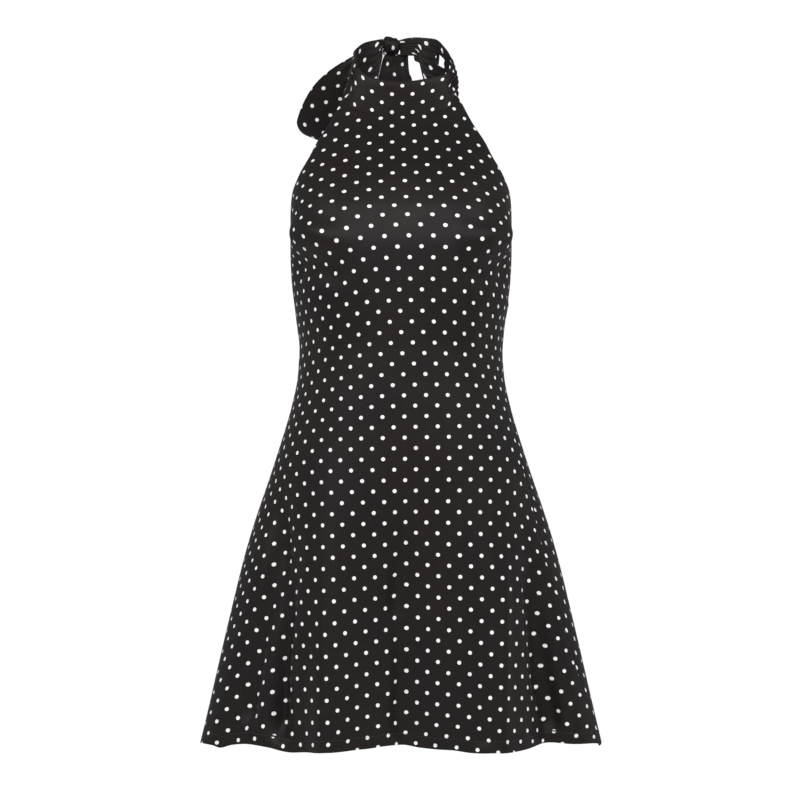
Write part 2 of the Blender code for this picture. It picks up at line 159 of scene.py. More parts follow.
# Creases: soft troughs (negative rise) and ridges laid over that form, each along a line in the front view.
# reach is half their width, fade_in and fade_out the shares of the line over which they come and go.
Crease = namedtuple("Crease", "from_x from_z to_x to_z reach rise fade_in fade_out")
FRONT_CREASES = each(
    Crease,
    (-0.136, -0.248, -0.106, -0.2315, 0.0022, -0.0009, 0.05, 0.45),
    (0.136, -0.25, 0.112, -0.236, 0.0022, -0.0009, 0.05, 0.45),
    (-0.1375, -0.22, -0.045, -0.217, 0.0165, 0.0076, 0.1, 0.7),
    (0.1375, -0.219, 0.05, -0.216, 0.0165, 0.0074, 0.1, 0.7),
    (-0.136, -0.264, -0.05, -0.258, 0.02, -0.0082, 0.12, 0.6),
    (0.136, -0.265, 0.055, -0.259, 0.0195, -0.0078, 0.12, 0.6),
    (0.133, -0.296, 0.108, -0.312, 0.009, 0.0018, 0.1, 0.7),
    (0.133, -0.32, 0.112, -0.334, 0.008, -0.0012, 0.1, 0.7),
    (-0.13, -0.34, -0.106, -0.352, 0.008, -0.0011, 0.1, 0.7),
    (-0.128, -0.37, -0.104, -0.376, 0.007, 0.0008, 0.1, 0.7),
    (-0.144, -0.52, -0.188, -0.83, 0.0095, -0.0092, 0.35, 0.1),
    (-0.15, -0.5, -0.143, -0.835, 0.013, -0.0125, 0.35, 0.08),
    (-0.123, -0.54, -0.15, -0.84, 0.0085, -0.0062, 0.4, 0.05),
    (-0.066, -0.57, -0.072, -0.73, 0.009, -0.0024, 0.4, 0.4),
    (0.002, -0.52, 0.0, -0.7, 0.014, -0.0075, 0.3, 0.3),
    (0.013, -0.47, 0.018, -0.76, 0.03, -0.009, 0.35, 0.35),
    (-0.001, -0.69, -0.004, -0.83, 0.006, -0.0051, 0.3, 0.2),
    (0.052, -0.62, 0.1, -0.84, 0.011, -0.0033, 0.5, 0.05),
    (0.126, -0.58, 0.124, -0.82, 0.007, 0.0027, 0.3, 0.3),
    (0.154, -0.58, 0.19, -0.835, 0.013, -0.008, 0.3, 0.1),
    (0.149, -0.6, 0.174, -0.81, 0.0085, -0.0054, 0.35, 0.25),
    (0.17, -0.63, 0.196, -0.8, 0.008, 0.0024, 0.35, 0.3),
)
BACK_CREASES = each(
    Crease,
    (-0.134, -0.255, -0.1, -0.27, 0.01, -0.0014, 0.1, 0.7),
    (0.133, -0.25, 0.098, -0.266, 0.011, -0.0013, 0.1, 0.7),
    (-0.09, -0.35, 0.02, -0.361, 0.012, -0.0018, 0.4, 0.5),
    (0.1, -0.343, -0.01, -0.356, 0.01, -0.0015, 0.4, 0.5),
    (-0.05, -0.374, 0.07, -0.372, 0.011, 0.0012, 0.4, 0.4),
    (-0.155, -0.54, -0.196, -0.83, 0.0095, -0.0036, 0.35, 0.1),
    (-0.095, -0.53, -0.1, -0.82, 0.0085, -0.0026, 0.4, 0.1),
    (-0.026, -0.56, -0.042, -0.83, 0.008, 0.0018, 0.35, 0.15),
    (0.028, -0.57, 0.034, -0.82, 0.009, -0.0026, 0.4, 0.15),
    (0.09, -0.55, 0.098, -0.83, 0.008, -0.0024, 0.35, 0.1),
    (0.156, -0.56, 0.19, -0.83, 0.0095, -0.0034, 0.35, 0.15),
)

# How the middle of a crease or a pleat sways: its share of the reach or height, how often, and how its phase
# follows the place.
Sway = namedtuple("Sway", "share waves phase")
CREASE_SWAY = Sway(0.25, 5.0, 40)

# How the print lies on the front, by height: the print row at centre front, how the rows tilt, sag and curl
# with the distance from it, the print column there, columns in each 0.15 m, and how that changes outwards.
PrintRow = namedtuple("PrintRow", "z row tilt sag curl column rate skew spread edge")
FRONT_PRINT = each(
    PrintRow,
    (-0.035, -34.35, 0.7, -0.2, -2.4, 0.9, 11.3, 0.6, -1.2, -1.0),
    (-0.07, -31.15, 0.63, -0.31, -2.03, 0.85, 11.17, 0.59, -1.08, -0.91),
    (-0.1, -28.4, 0.54, -0.44, -1.61, 0.79, 10.96, 0.46, -0.93, -0.7),
    (-0.15, -23.45, 0.28, -0.6, -0.91, 0.7, 10.46, 0.27, -0.73, -0.35),
    (-0.195, -19.11, 0.23, -0.88, -0.37, 0.49, 10.02, 0.07, -0.58, -0.04),
    (-0.235, -16.02, 0.31, -1.16, 0.12, 0.3, 10.41, -0.09, -0.15, 0.42),
    (-0.27, -13.31, 0.3, -1.19, 0.42, 0.2, 11.02, -0.19, 0.19, 0.76),
    (-0.33, -8.62, 0.29, -1.05, 0.32, 0.01, 11.34, -0.31, -0.08, 0.57),
    (-0.4, -3.1, 0.34, -0.63, -0.02, -0.24, 11.35, -0.37, -0.61, 0.32),
    (-0.48, 3.21, 0.23, -0.02, -0.33, -0.35, 11.35, -0.31, -0.89, 0.37),
    (-0.56, 9.41, 0.15, -0.07, -0.4, -0.43, 11.75, -0.26, -0.55, 0.39),
    (-0.64, 15.61, 0.14, -0.29, -0.22, -0.52, 11.79, -0.31, -0.24, 0.09),
    (-0.72, 21.79, 0.13, -0.49, -0.08, -0.53, 11.71, -0.22, 0.2, -0.09),
    (-0.79, 27.22, 0.12, -0.64, 0.0, -0.52, 11.37, -0.02, 0.43, -0.14),
    (-0.845, 31.55, 0.17, -0.84, 0.07, -0.39, 11.06, 0.0, 0.59, -0.16),
)
BACK_PRINT = each(
    PrintRow,
    (-0.19, -19.5, 0.0, -0.3, 0.0, 0.5, 10.9, 0.0, 0.1, 0.0),
    (-0.27, -13.3, 0.0, -0.45, 0.0, 0.5, 11.2, 0.0, 0.1, 0.0),
    (-0.4, -3.1, 0.0, -0.3, 0.0, 0.5, 11.4, 0.0, 0.0, 0.0),
    (-0.56, 9.35, 0.0, -0.25, 0.0, 0.5, 11.6, 0.0, 0.0, 0.0),
    (-0.72, 21.75, 0.0, -0.5, 0.0, 0.5, 11.6, 0.0, 0.0, 0.0),
    (-0.845, 31.55, 0.0, -0.7, 0.0, 0.5, 11.5, 0.0, 0.0, 0.0),
)
PRINT_SCALE = 0.15  # the length that the print tables count in
TIGHTEST_PRINT = 0.0112  # half a repeat where the cloth is eased in most
WIDEST_PRINT = 0.0170  # and where it is stretched most
PRINT_STEPS = 56  # in which its columns are counted from the centre to an edge

# The neck strip in sections by angle from centre front, a little fuller than its solid at the wearer's left.
NeckSection = namedtuple("NeckSection", "angle top_width top_depth top_z low_width low_depth low_z")
NECK = each(
    NeckSection,
    (-160.2, 0.071, 0.074, 0.04, 0.07, 0.074, 0.0212),
    (-157.8, 0.0712, 0.0735, 0.0395, 0.068, 0.0715, 0.0128),
    (-155.5, 0.0713, 0.0725, 0.0389, 0.0665, 0.0695, 0.0042),
    (-153.0, 0.0713, 0.0725, 0.0382, 0.066, 0.0685, -0.007),
    (-150.5, 0.0714, 0.072, 0.0376, 0.066, 0.067, -0.0165),
    (-140.0, 0.071, 0.069, 0.034, 0.066, 0.064, -0.021),
    (-120.0, 0.067, 0.063, 0.0235, 0.068, 0.058, -0.026),
    (-105.0, 0.0628, 0.059, 0.018, 0.0718, 0.055, -0.0305),
    (-90.0, 0.0612, 0.054, 0.012, 0.0738, 0.052, -0.035),
    (-67.0, 0.0635, 0.047, 0.001, 0.0785, 0.046, -0.0427),
    (-50.0, 0.067, 0.039, -0.0095, 0.0785, 0.046, -0.054),
    (-30.0, 0.0705, 0.0322, -0.0203, 0.0785, 0.046, -0.064),
    (0.0, 0.0715, 0.0292, -0.0252, 0.0785, 0.046, -0.069),
    (30.0, 0.0715, 0.0322, -0.0205, 0.0785, 0.046, -0.064),
    (50.0, 0.0712, 0.04, -0.0155, 0.0785, 0.046, -0.054),
    (67.0, 0.0708, 0.051, -0.008, 0.0785, 0.046, -0.0427),
    (90.0, 0.068, 0.056, 0.0045, 0.0738, 0.052, -0.035),
    (105.0, 0.0664, 0.0595, 0.0122, 0.0718, 0.055, -0.0305),
    (120.0, 0.0667, 0.063, 0.0238, 0.067, 0.058, -0.026),
    (140.0, 0.0694, 0.068, 0.0378, 0.066, 0.063, -0.02),
    (152.5, 0.0712, 0.0705, 0.0406, 0.066, 0.066, -0.0135),
    (155.5, 0.0713, 0.071, 0.041, 0.066, 0.0675, -0.002),
    (159.0, 0.0714, 0.072, 0.0413, 0.066, 0.069, 0.013),
    (163.5, 0.0715, 0.073, 0.0415, 0.0665, 0.071, 0.0195),
    (181.0, 0.071, 0.074, 0.0388, 0.07, 0.074, 0.021),
)
NECK_ENDS = (-160.2, 181.0)
# Angles at which the spacing of the strip's columns changes, and how many columns follow.
NECK_STOPS = ((-160.2, 22), (-146.0, 54), (-67.0, 70), (67.0, 54), (146.0, 34), (181.0, 0))

# Pleats of the gathered neck strip at the wearer's right and left, from the front to the knot: their share
# of the strip's height at the front and at the knot, the angle where they begin, their reach and their rise.
Pleat = namedtuple("Pleat", "front_share knot_share begins reach rise")
PLEATS_RIGHT_SIDE = each(
    Pleat,
    (0.97, 0.94, -40.0, 0.045, 0.0012), (0.84, 0.8, -44.0, 0.05, 0.0017),
    (0.7, 0.63, -50.0, 0.048, 0.0015), (0.53, 0.47, -46.0, 0.055, 0.0019),
    (0.38, 0.32, -56.0, 0.046, 0.0014), (0.22, 0.18, -52.0, 0.055, 0.0016),
    (0.07, 0.06, -60.0, 0.04, 0.001),
)
PLEATS_LEFT_SIDE = each(
    Pleat,
    (0.95, 0.95, 42.0, 0.042, 0.0013), (0.82, 0.83, 46.0, 0.048, 0.0016),
    (0.66, 0.7, 40.0, 0.052, 0.0019), (0.51, 0.52, 50.0, 0.046, 0.0015),
    (0.36, 0.38, 44.0, 0.054, 0.0018), (0.2, 0.23, 56.0, 0.048, 0.0014),
    (0.06, 0.08, 50.0, 0.04, 0.0011),
)
PLEAT_SWAY = Sway(0.018, 9.0, 30)
PLEAT_START = 0.16  # the share of its length over which a pleat comes up
PLEAT_FULL, PLEAT_TIGHT = 2.0, 0.62  # its size where it comes up, and where it is drawn tight
PLEAT_FADE = 1.3
PLEAT_POWER = 1.6  # how round its ridge is
PLEAT_LEVEL = 0.42  # the part of a ridge that lies below the plain strip

# Where the gathered cloth swells out at the wearer's left side: at which angle, how far round, and how much.
Swell = namedtuple("Swell", "angle reach rise")
SIDE_SWELL = Swell(90.0, 24.0, 0.0036)
PART_FROM, PART_TO = 121.0, 138.0  # where two pleats of the wearer's left tie part
PART_LOW, PART_HIGH = 0.46, 0.73

KNOT_CENTRE = Vector((-0.0130, 0.0745, 0.0330))
KNOT_RADII = Vector((0.0114, 0.0145, 0.0112))
Wrap = namedtuple("Wrap", "place reach rise")

# The bow: where each loop leaves the knot, its bend and its far end, the way its width runs at either end,
# how its near layer leans aside, and how far the two layers stand apart.
Loop = namedtuple("Loop", "start bend end start_across end_across lean swell")
LOOP_LEFT = Loop(
    Vector((-0.0243, 0.0798, 0.0301)),
    Vector((-0.0798, 0.0900, 0.0011)),
    Vector((-0.1136, 0.1060, -0.0814)),
    Vector((0.25, 0.10, -0.96)),
    Vector((3.400, -0.300, 1.250)),
    Vector((-0.38, 0.00, 0.37)),
    0.0170,
)
LOOP_RIGHT = Loop(
    Vector((-0.0026, 0.0800, 0.0319)),
    Vector((0.0590, 0.0900, 0.0550)),
    Vector((0.0380, 0.1140, -0.1000)),
    Vector((-0.34, 0.10, -0.935)),
    Vector((0.250, 0.950, -0.150)),
    Vector((0.0, 0.0, 0.0)),
    0.0080,
)
LOOP_NECK_WIDTH = 0.0165
LOOP_WIDTH = 0.0480
LOOP_OPENING = 1.4
LOOP_TWISTING = 1.3
LOOP_SPACE = 0.0016
LOOP_ROUNDING = 0.045

# Gathers that run out from the knot: where they lie from edge to edge (-1 to 1), how far they stand out and
# how far they go. Their style: how they sway, how narrow they start and how wide they end, how high they
# start and how soon they are full.
Gather = namedtuple("Gather", "place rise reach")
GatherStyle = namedtuple("GatherStyle", "sway waves phase narrow wide first growth")
LOOP_GATHERS = each(
    Gather,
    (-0.78, 0.0016, 0.42), (-0.45, 0.002, 0.6), (-0.1, 0.0017, 0.46), (0.24, 0.0021, 0.66),
    (0.62, 0.0016, 0.4),
)
TAIL_GATHERS = each(
    Gather,
    (-0.7, 0.0011, 0.3), (-0.3, 0.0015, 0.44), (0.12, 0.0012, 0.34), (0.52, 0.0015, 0.5),
    (0.85, 0.001, 0.28),
)
LOOP_STYLE = GatherStyle(0.10, 5, 7, 0.10, 0.19, 0.5, 6)
TAIL_STYLE = GatherStyle(0.08, 6, 8, 0.13, 0.13, 0.0, 12)
GATHER_LEVEL = 0.35  # the part of a gather that lies below the plain strip

# The two ends of the tie, from the knot down.
Station = namedtuple("Station", "share x y z width")
TAIL_LEFT = each(
    Station,
    (0.0, -0.0056, 0.0778, 0.0226, 0.03),
    (0.04, -0.0073, 0.078, 0.0144, 0.0332),
    (0.12, -0.0084, 0.079, -0.001, 0.0385),
    (0.16, -0.0076, 0.08, -0.0092, 0.0434),
    (0.4, -0.011, 0.086, -0.06, 0.048),
    (0.7, -0.016, 0.093, -0.12, 0.049),
    (1.0, -0.019, 0.098, -0.182, 0.05),
)
TAIL_RIGHT = each(
    Station,
    (0.0, -0.0128, 0.084, 0.0245, 0.012),
    (0.1, -0.012, 0.088, 0.006, 0.024),
    (0.22, -0.009, 0.093, -0.015, 0.033),
    (0.42, -0.001, 0.101, -0.055, 0.046),
    (0.7, 0.003, 0.108, -0.115, 0.049),
    (1.0, 0.006, 0.112, -0.172, 0.05),
)
TAIL_SLANT = 0.06
TAIL_WAVE = 0.0022
TAIL_WAVE_ACROSS = 2.2
TAIL_WAVE_DOWN = 5.0
TAIL_WAVE_START = 3.0
STRIP_WIDTH = 0.048  # of the finished strip, laid flat

# Where the dress stands before the camera.
CAMERA_DISTANCE = 3.5
FRAME_WIDTH = 1.0  # of the picture, at the middle of the dress
SENSOR = 36.0
CAMERA_X = -0.00125
CAMERA_Z = -0.419375
FLOOR_Z = -1.32
FLOOR_RADIUS = 2.3


class Held(Enum):
    """How a piece of cloth is held."""

    HUNG = "hung"
    GATHERED = "gathered"


class Side(Enum):
    """The two panels of the dress."""

    FRONT = "front"
    BACK = "back"


class SmoothTable:
    """Rows with named columns, read between rows along curves that never overshoot."""

    def __init__(self, table: Sequence[tuple]) -> None:
        """Sorts the rows and works out the slope of each column at each row.

        Args:
            table: Named tuples of one kind, the first column being where each row stands.
        """
        self.kind = type(table[0])
        ordered = sorted(table)
        self.at = np.array([row[0] for row in ordered])
        self.values = np.array([row[1:] for row in ordered])
        rise = np.diff(self.values, axis=0) / np.diff(self.at)[:, None]
        before, after = rise[:-1], rise[1:]
        same_way = before * after > 0
        total = np.where(same_way, before + after, 1.0)
        inner = np.where(same_way, 2 * before * after / total, 0.0)
        self.slopes = np.vstack([rise[:1], inner, rise[-1:]])

    def __call__(self, at: Array) -> tuple:
        """Reads every column at each place.

        Args:
            at: Places along the first column.

        Returns:
            A named tuple whose columns are arrays of the shape of at.
        """
        at = np.clip(np.asarray(at, float), self.at[0], self.at[-1])
        i = np.minimum(np.searchsorted(self.at, at, "right") - 1, len(self.at) - 2)
        step = self.at[i + 1] - self.at[i]
        t = ((at - self.at[i]) / step)[..., None]
        step = step[..., None]
        curve = (
            self.values[i] * (1 + 2 * t) * (1 - t) ** 2
            + self.values[i + 1] * t * t * (3 - 2 * t)
            + self.slopes[i] * step * t * (1 - t) ** 2
            - self.slopes[i + 1] * step * t * t * (1 - t)
        )
        return self.kind(at, *np.moveaxis(curve, -1, 0))


def ease(share: Array) -> Array:
    """0 to 1 with level ends, from a share that may lie outside."""
    share = np.clip(share, 0.0, 1.0)
    return share * share * (3 - 2 * share)


def mix(low: Array, high: Array, share: Array) -> Array:
    """Between low and high."""
    return low + (high - low) * share


def bell(offset: Array) -> Array:
    """1 at no offset, falling away smoothly on both sides."""
    return np.exp(-(offset**2))


def unit(vectors: Array) -> Array:
    """Each vector at length 1."""
    return vectors / np.maximum(np.linalg.norm(vectors, axis=-1, keepdims=True), 1e-12)


def outward(points: Array) -> Array:
    """Unit normals of a grid of points, on the side from which its rows run down and its columns right."""
    return unit(np.cross(np.gradient(points, axis=0), np.gradient(points, axis=1)))


def run_length(points: Array, axis: int) -> Array:
    """Length along a grid's rows or columns.

    Args:
        points: The grid.
        axis: 0 to go down its columns, 1 to go along its rows.

    Returns:
        The length at each point, from the first one.
    """
    steps = np.linalg.norm(np.diff(points, axis=axis), axis=-1)
    start = np.zeros_like(np.take(steps, [0], axis=axis))
    return np.concatenate([start, np.cumsum(steps, axis=axis)], axis=axis)


def add_object(name: str, data: bpy.types.ID) -> Object:
    """A new object in the scene, at the origin.

    Args:
        name: Its name.
        data: Its mesh, light or camera.

    Returns:
        The object.
    """
    made = bpy.data.objects.new(name, data)
    bpy.context.scene.collection.objects.link(made)
    return made


# Finishes --------------------------------------------------
# Soft random fields: how fine they are, and which values of the noise become which of the finish.
Mottle = namedtuple("Mottle", "scale detail low high to_low to_high")
TINT = Mottle(9.0, 2.0, 0.40, 0.62, 0.0, 1.0)
FLECK = Mottle(420.0, 3.0, 0.35, 0.68, 0.0, 1.0)
INK_SHADE = Mottle(700.0, 2.0, 0.25, 0.75, 0.90, 1.0)
GLOSS = Mottle(60.0, 3.0, 0.3, 0.7, -0.035, 0.035)
FIBRE = Mottle(2600.0, 2.0, 0.3, 0.7, 0.0, 1.0)
FLOOR_CLOUD = Mottle(3.0, 2.0, 0.3, 0.7, 0.0, 1.0)
RAGGED, SLACK = (900.0, 2.0), (55.0, 3.0)  # noises used as they are: of the dots' edges and the slack cloth

# The knit: its wales and courses as bands, and each one's share of the relief.
Band = namedtuple("Band", "way scale distortion share")
KNIT = (Band("X", 9.0, 1.2, 0.6), Band("Y", 12.0, 1.6, 0.4))
MIX_FIRST, MIX_SECOND, MIX_COLOUR = 6, 7, 2  # the colour sockets of a Mix node


class NodeBench:
    """A material's node tree, with short ways to add and join its nodes."""

    def __init__(self, name: str) -> None:
        """A new material.

        Args:
            name: Its name.
        """
        self.material = bpy.data.materials.new(name)
        self.material.use_nodes = True
        self.tree = self.material.node_tree
        self.place = self.add("TexCoord").outputs["Object"]

    def feed(self, node: bpy.types.Node, values: dict) -> bpy.types.Node:
        """Joins a node's inputs to other sockets, or sets their values.

        Args:
            node: The node.
            values: A socket or a value for each input, by the input's name or place.

        Returns:
            The node.
        """
        for key, value in values.items():
            if isinstance(value, Socket):
                self.tree.links.new(value, node.inputs[key])
            else:
                node.inputs[key].default_value = value
        return node

    def add(self, kind: str, values: Optional[dict] = None, **settings: object) -> bpy.types.Node:
        """A new node.

        Args:
            kind: Its type, without ShaderNode before it.
            values: What feeds its inputs.
            settings: Its properties.

        Returns:
            The node.
        """
        node = self.tree.nodes.new("ShaderNode" + kind)
        for key, value in settings.items():
            setattr(node, key, value)
        return self.feed(node, values or {})

    def sum(self, operation: str, *values: object) -> Socket:
        """The result of a Math node."""
        return self.add("Math", dict(enumerate(values)), operation=operation).outputs[0]

    def vector(self, operation: str, *values: object) -> bpy.types.Node:
        """A Vector Math node."""
        return self.add("VectorMath", dict(enumerate(values)), operation=operation)

    def spread(self, *values: object) -> Socket:
        """A value moved smoothly from one range, low and high, to another."""
        return self.add("MapRange", dict(enumerate(values)), interpolation_type="SMOOTHSTEP").outputs[0]

    def blend(self, share: object, first: object, second: object) -> Socket:
        """A colour between two others."""
        values = {0: share, MIX_FIRST: first, MIX_SECOND: second}
        return self.add("Mix", values, data_type="RGBA").outputs[MIX_COLOUR]

    def noise(self, scale: float, detail: float) -> Socket:
        """A soft random value of about 0.5."""
        return self.add("TexNoise", {"Vector": self.place, "Scale": scale, "Detail": detail}).outputs[0]

    def mottle(self, kind: Mottle) -> Socket:
        """A soft random field."""
        return self.spread(self.noise(kind.scale, kind.detail), *kind[2:])

    def finish(self, looks: dict) -> Material:
        """The material, with what its shader is fed."""
        self.feed(self.tree.nodes["Principled BSDF"], looks)
        return self.material


@dataclass(frozen=True)
class DottedSatin:
    """Stretch satin jersey with small printed dots, on its right or its wrong side.

    The pattern follows the piece's own print map, one unit of which is the step from dot to dot.
    """

    name: str
    ground: tuple = (0.0098, 0.0075, 0.0075, 1.0)
    ground_warm: tuple = (0.0126, 0.0091, 0.0085, 1.0)
    ground_cool: tuple = (0.0092, 0.0084, 0.0080, 1.0)
    fleck_share: float = 0.75
    dot: tuple = (0.73, 0.72, 0.705, 1.0)
    dot_wander: float = 0.016
    dot_softness: float = 0.010
    roughness: float = 0.43
    ink_roughness: float = 0.22
    specular: float = 0.105
    sheen: float = 0.03
    sheen_roughness: float = 0.45
    sheen_tint: tuple = (0.82, 0.80, 0.84, 1.0)
    relief: float = 0.55
    relief_depth: float = 0.00006
    ink_relief: float = 0.25
    slack_relief: float = 3.4

    def material(self) -> Material:
        """Builds the finish.

        Returns:
            The material.
        """
        bench = NodeBench(self.name)
        print_map = bench.add("UVMap", uv_map="print").outputs[0]
        dotted = self.dots(bench, print_map)
        ground = bench.blend(bench.mottle(TINT), self.ground_cool, self.ground_warm)
        fleck = bench.sum("MULTIPLY", bench.mottle(FLECK), self.fleck_share)
        ground = bench.blend(fleck, ground, self.ground)
        ink = bench.vector("SCALE", self.dot[:3])
        bench.feed(ink, {"Scale": bench.mottle(INK_SHADE)})
        printed = bench.sum("MULTIPLY_ADD", dotted, self.ink_roughness, self.roughness)
        looks = {
            "Base Color": bench.blend(dotted, ground, ink.outputs[0]),
            "Roughness": bench.sum("ADD", printed, bench.mottle(GLOSS)),
            "Specular IOR Level": self.specular,
            "Sheen Weight": self.sheen,
            "Sheen Roughness": self.sheen_roughness,
            "Sheen Tint": self.sheen_tint,
            "Normal": self.weave(bench, print_map, dotted),
        }
        return bench.finish(looks)

    def dots(self, bench: NodeBench, print_map: object) -> Socket:
        """The printed dots, their edges a little ragged.

        Args:
            bench: The material's nodes.
            print_map: The print map.

        Returns:
            1 on a dot and 0 off it.
        """
        middle = (0.5, 0.5, 0.0)
        cell = bench.vector("FRACTION", bench.vector("ADD", print_map, middle).outputs[0])
        offset = bench.vector("SUBTRACT", cell.outputs[0], middle)
        flat = bench.vector("MULTIPLY", offset.outputs[0], (1.0, 1.0, 0.0))
        distance = bench.vector("LENGTH", flat.outputs[0]).outputs["Value"]
        ragged = bench.sum("MULTIPLY_ADD", bench.noise(*RAGGED), self.dot_wander, distance)
        radius = DOT_DIAMETER / 2 / (GRAIN * math.sqrt(2)) + self.dot_wander / 2
        return bench.spread(ragged, radius - self.dot_softness, radius + self.dot_softness, 1.0, 0.0)

    def weave(self, bench: NodeBench, print_map: object, dotted: object) -> Socket:
        """The relief: wales along the cloth, broken courses across it, a little slack, and the printed ink.

        Args:
            bench: The material's nodes.
            print_map: The print map.
            dotted: 1 on a dot.

        Returns:
            The bumped normal.
        """
        turned = bench.add("Mapping", {"Vector": print_map, "Rotation": (0.0, 0.0, math.radians(45))})
        height = bench.sum("MULTIPLY", bench.noise(*SLACK), self.slack_relief)
        height = bench.sum("MULTIPLY_ADD", dotted, self.ink_relief, height)
        for band in KNIT:
            values = {"Vector": turned.outputs[0], "Detail": 2.0}
            values.update({"Scale": band.scale, "Distortion": band.distortion})
            wave = bench.add("TexWave", values, wave_type="BANDS", bands_direction=band.way)
            height = bench.sum("MULTIPLY_ADD", wave.outputs[1], band.share, height)
        values = {"Strength": self.relief, "Distance": self.relief_depth, "Height": height}
        return bench.add("Bump", values).outputs[0]


@dataclass(frozen=True)
class Thread:
    """Sewing thread with its twist."""

    name: str
    colour: tuple = (0.012, 0.0115, 0.0115, 1.0)
    fibre_gain: float = 2.2
    roughness: float = 0.5
    relief: float = 0.4

    def material(self) -> Material:
        """Builds the finish.

        Returns:
            The material.
        """
        bench = NodeBench(self.name)
        fibre = bench.mottle(FIBRE)
        paler = tuple(self.fibre_gain * part for part in self.colour[:3]) + (1.0,)
        bump = bench.add("Bump", {"Strength": self.relief, "Distance": THREAD_RADIUS / 4, "Height": fibre})
        looks = {
            "Base Color": bench.blend(fibre, self.colour, paler),
            "Roughness": self.roughness,
            "Normal": bump.outputs[0],
        }
        return bench.finish(looks)


@dataclass(frozen=True)
class StudioFloor:
    """Plain pale floor paint."""

    name: str
    colour: tuple = (0.86, 0.86, 0.855, 1.0)
    darker: float = 0.985
    roughness: float = 0.9

    def material(self) -> Material:
        """Builds the finish.

        Returns:
            The material.
        """
        bench = NodeBench(self.name)
        darker = tuple(self.darker * part for part in self.colour[:3]) + (1.0,)
        colour = bench.blend(bench.mottle(FLOOR_CLOUD), self.colour, darker)
        return bench.finish({"Base Color": colour, "Roughness": self.roughness})


@dataclass(frozen=True)
class Finishes:
    """The finishes that the pieces share."""

    right_side: Material
    wrong_side: Material
    thread: Material

    @classmethod
    def make(cls) -> "Finishes":
        """Builds each of them once.

        Returns:
            The finishes.
        """
        wrong = DottedSatin(
            "dotted_satin_wrong_side",
            ground=(0.0125, 0.0115, 0.0112, 1.0),
            ground_warm=(0.0150, 0.0130, 0.0120, 1.0),
            ground_cool=(0.0115, 0.0118, 0.0112, 1.0),
            dot=(0.16, 0.155, 0.15, 1.0),
            roughness=0.62,
            specular=0.09,
        )
        right = DottedSatin("dotted_satin")
        return cls(right.material(), wrong.material(), Thread("sewing_thread").material())


# Cloth as grids --------------------------------------------
@dataclass
class ClothGrid:
    """Points of a cloth in rows, and where each lies on the print, in half repeats."""

    points: Array
    column: Array
    row: Array
    leave_out: Optional[Array] = None
    edge_round: float = 0.32
    edge_angle: float = 62.0

    def to_object(self, name: str, wall: float, side: float, materials: Sequence[Material]) -> Object:
        """Makes the cloth a closed shell.

        Args:
            name: The object's name.
            wall: Its thickness.
            side: -1 to lie behind the points, 0 to lie on both sides of them.
            materials: Its outer finish and, where the inside differs, its inner one.

        Returns:
            The object, with its modifiers applied.
        """
        rows_in, columns_in = self.points.shape[:2]
        index = np.arange(rows_in * columns_in).reshape(rows_in, columns_in)
        quads = np.stack([index[:-1, :-1], index[1:, :-1], index[1:, 1:], index[:-1, 1:]], axis=-1)
        quads = quads[~self.leave_out] if self.leave_out is not None else quads.reshape(-1, 4)
        used, quads = np.unique(quads, return_inverse=True)
        quads = quads.reshape(-1, 4)
        data = bpy.data.meshes.new(name)
        data.from_pydata(self.points.reshape(-1, 3)[used].tolist(), [], quads.tolist())
        on_print = np.stack([(self.column + self.row) / 2, (self.column - self.row) / 2], axis=-1)
        on_print = on_print.reshape(-1, 2)[used][quads.reshape(-1)]
        data.uv_layers.new(name="print").data.foreach_set("uv", on_print.astype(np.float32).ravel())
        for material in materials:
            data.materials.append(material)
        made = add_object(name, data)
        thick = made.modifiers.new("wall", "SOLIDIFY")
        thick.thickness = wall
        thick.offset = side
        thick.use_even_offset = True
        thick.use_quality_normals = True
        thick.material_offset = len(materials) - 1
        edge = made.modifiers.new("edge", "BEVEL")
        edge.width = wall * self.edge_round
        edge.segments = 2
        edge.limit_method = "ANGLE"
        edge.angle_limit = math.radians(self.edge_angle)
        settle(made)
        return made


def settle(made: Object) -> None:
    """Puts the evaluated mesh in the place of the object's own and takes its modifiers off.

    Args:
        made: The object.
    """
    bpy.context.view_layer.update()
    graph = bpy.context.evaluated_depsgraph_get()
    baked = bpy.data.meshes.new_from_object(made.evaluated_get(graph), depsgraph=graph)
    old = made.data
    made.modifiers.clear()
    made.data = baked
    bpy.data.meshes.remove(old)
    baked.name = made.name
    baked.shade_smooth()


def place_piece(made: Object, node: Optional[str]) -> None:
    """Ties a piece to the frame.

    Args:
        made: The piece.
        node: The solid that it stands for, if any.
    """
    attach(made, "root")
    if node:
        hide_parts(node)
    triangles = sum(len(face.vertices) - 2 for face in made.data.polygons)
    log.info("%s: %d triangles", made.name, triangles)


def crease_rise(creases: Sequence[Crease], x: Array, z: Array) -> Array:
    """How far the creases push each point out.

    Args:
        creases: The rows of the table.
        x: Across, in the front view.
        z: Height.

    Returns:
        The rise of each point.
    """
    total = np.zeros_like(x)
    for crease in creases:
        run = np.array([crease.to_x - crease.from_x, crease.to_z - crease.from_z])
        length = np.linalg.norm(run)
        along = ((x - crease.from_x) * run[0] + (z - crease.from_z) * run[1]) / length**2
        aside = ((x - crease.from_x) * run[1] - (z - crease.from_z) * run[0]) / length
        sway = np.sin(along * CREASE_SWAY.waves + CREASE_SWAY.phase * crease.from_x)
        aside = aside + CREASE_SWAY.share * crease.reach * sway
        come = ease(along / crease.fade_in) * ease((1 - along) / crease.fade_out)
        total += crease.rise * come * bell(aside / crease.reach)
    return total


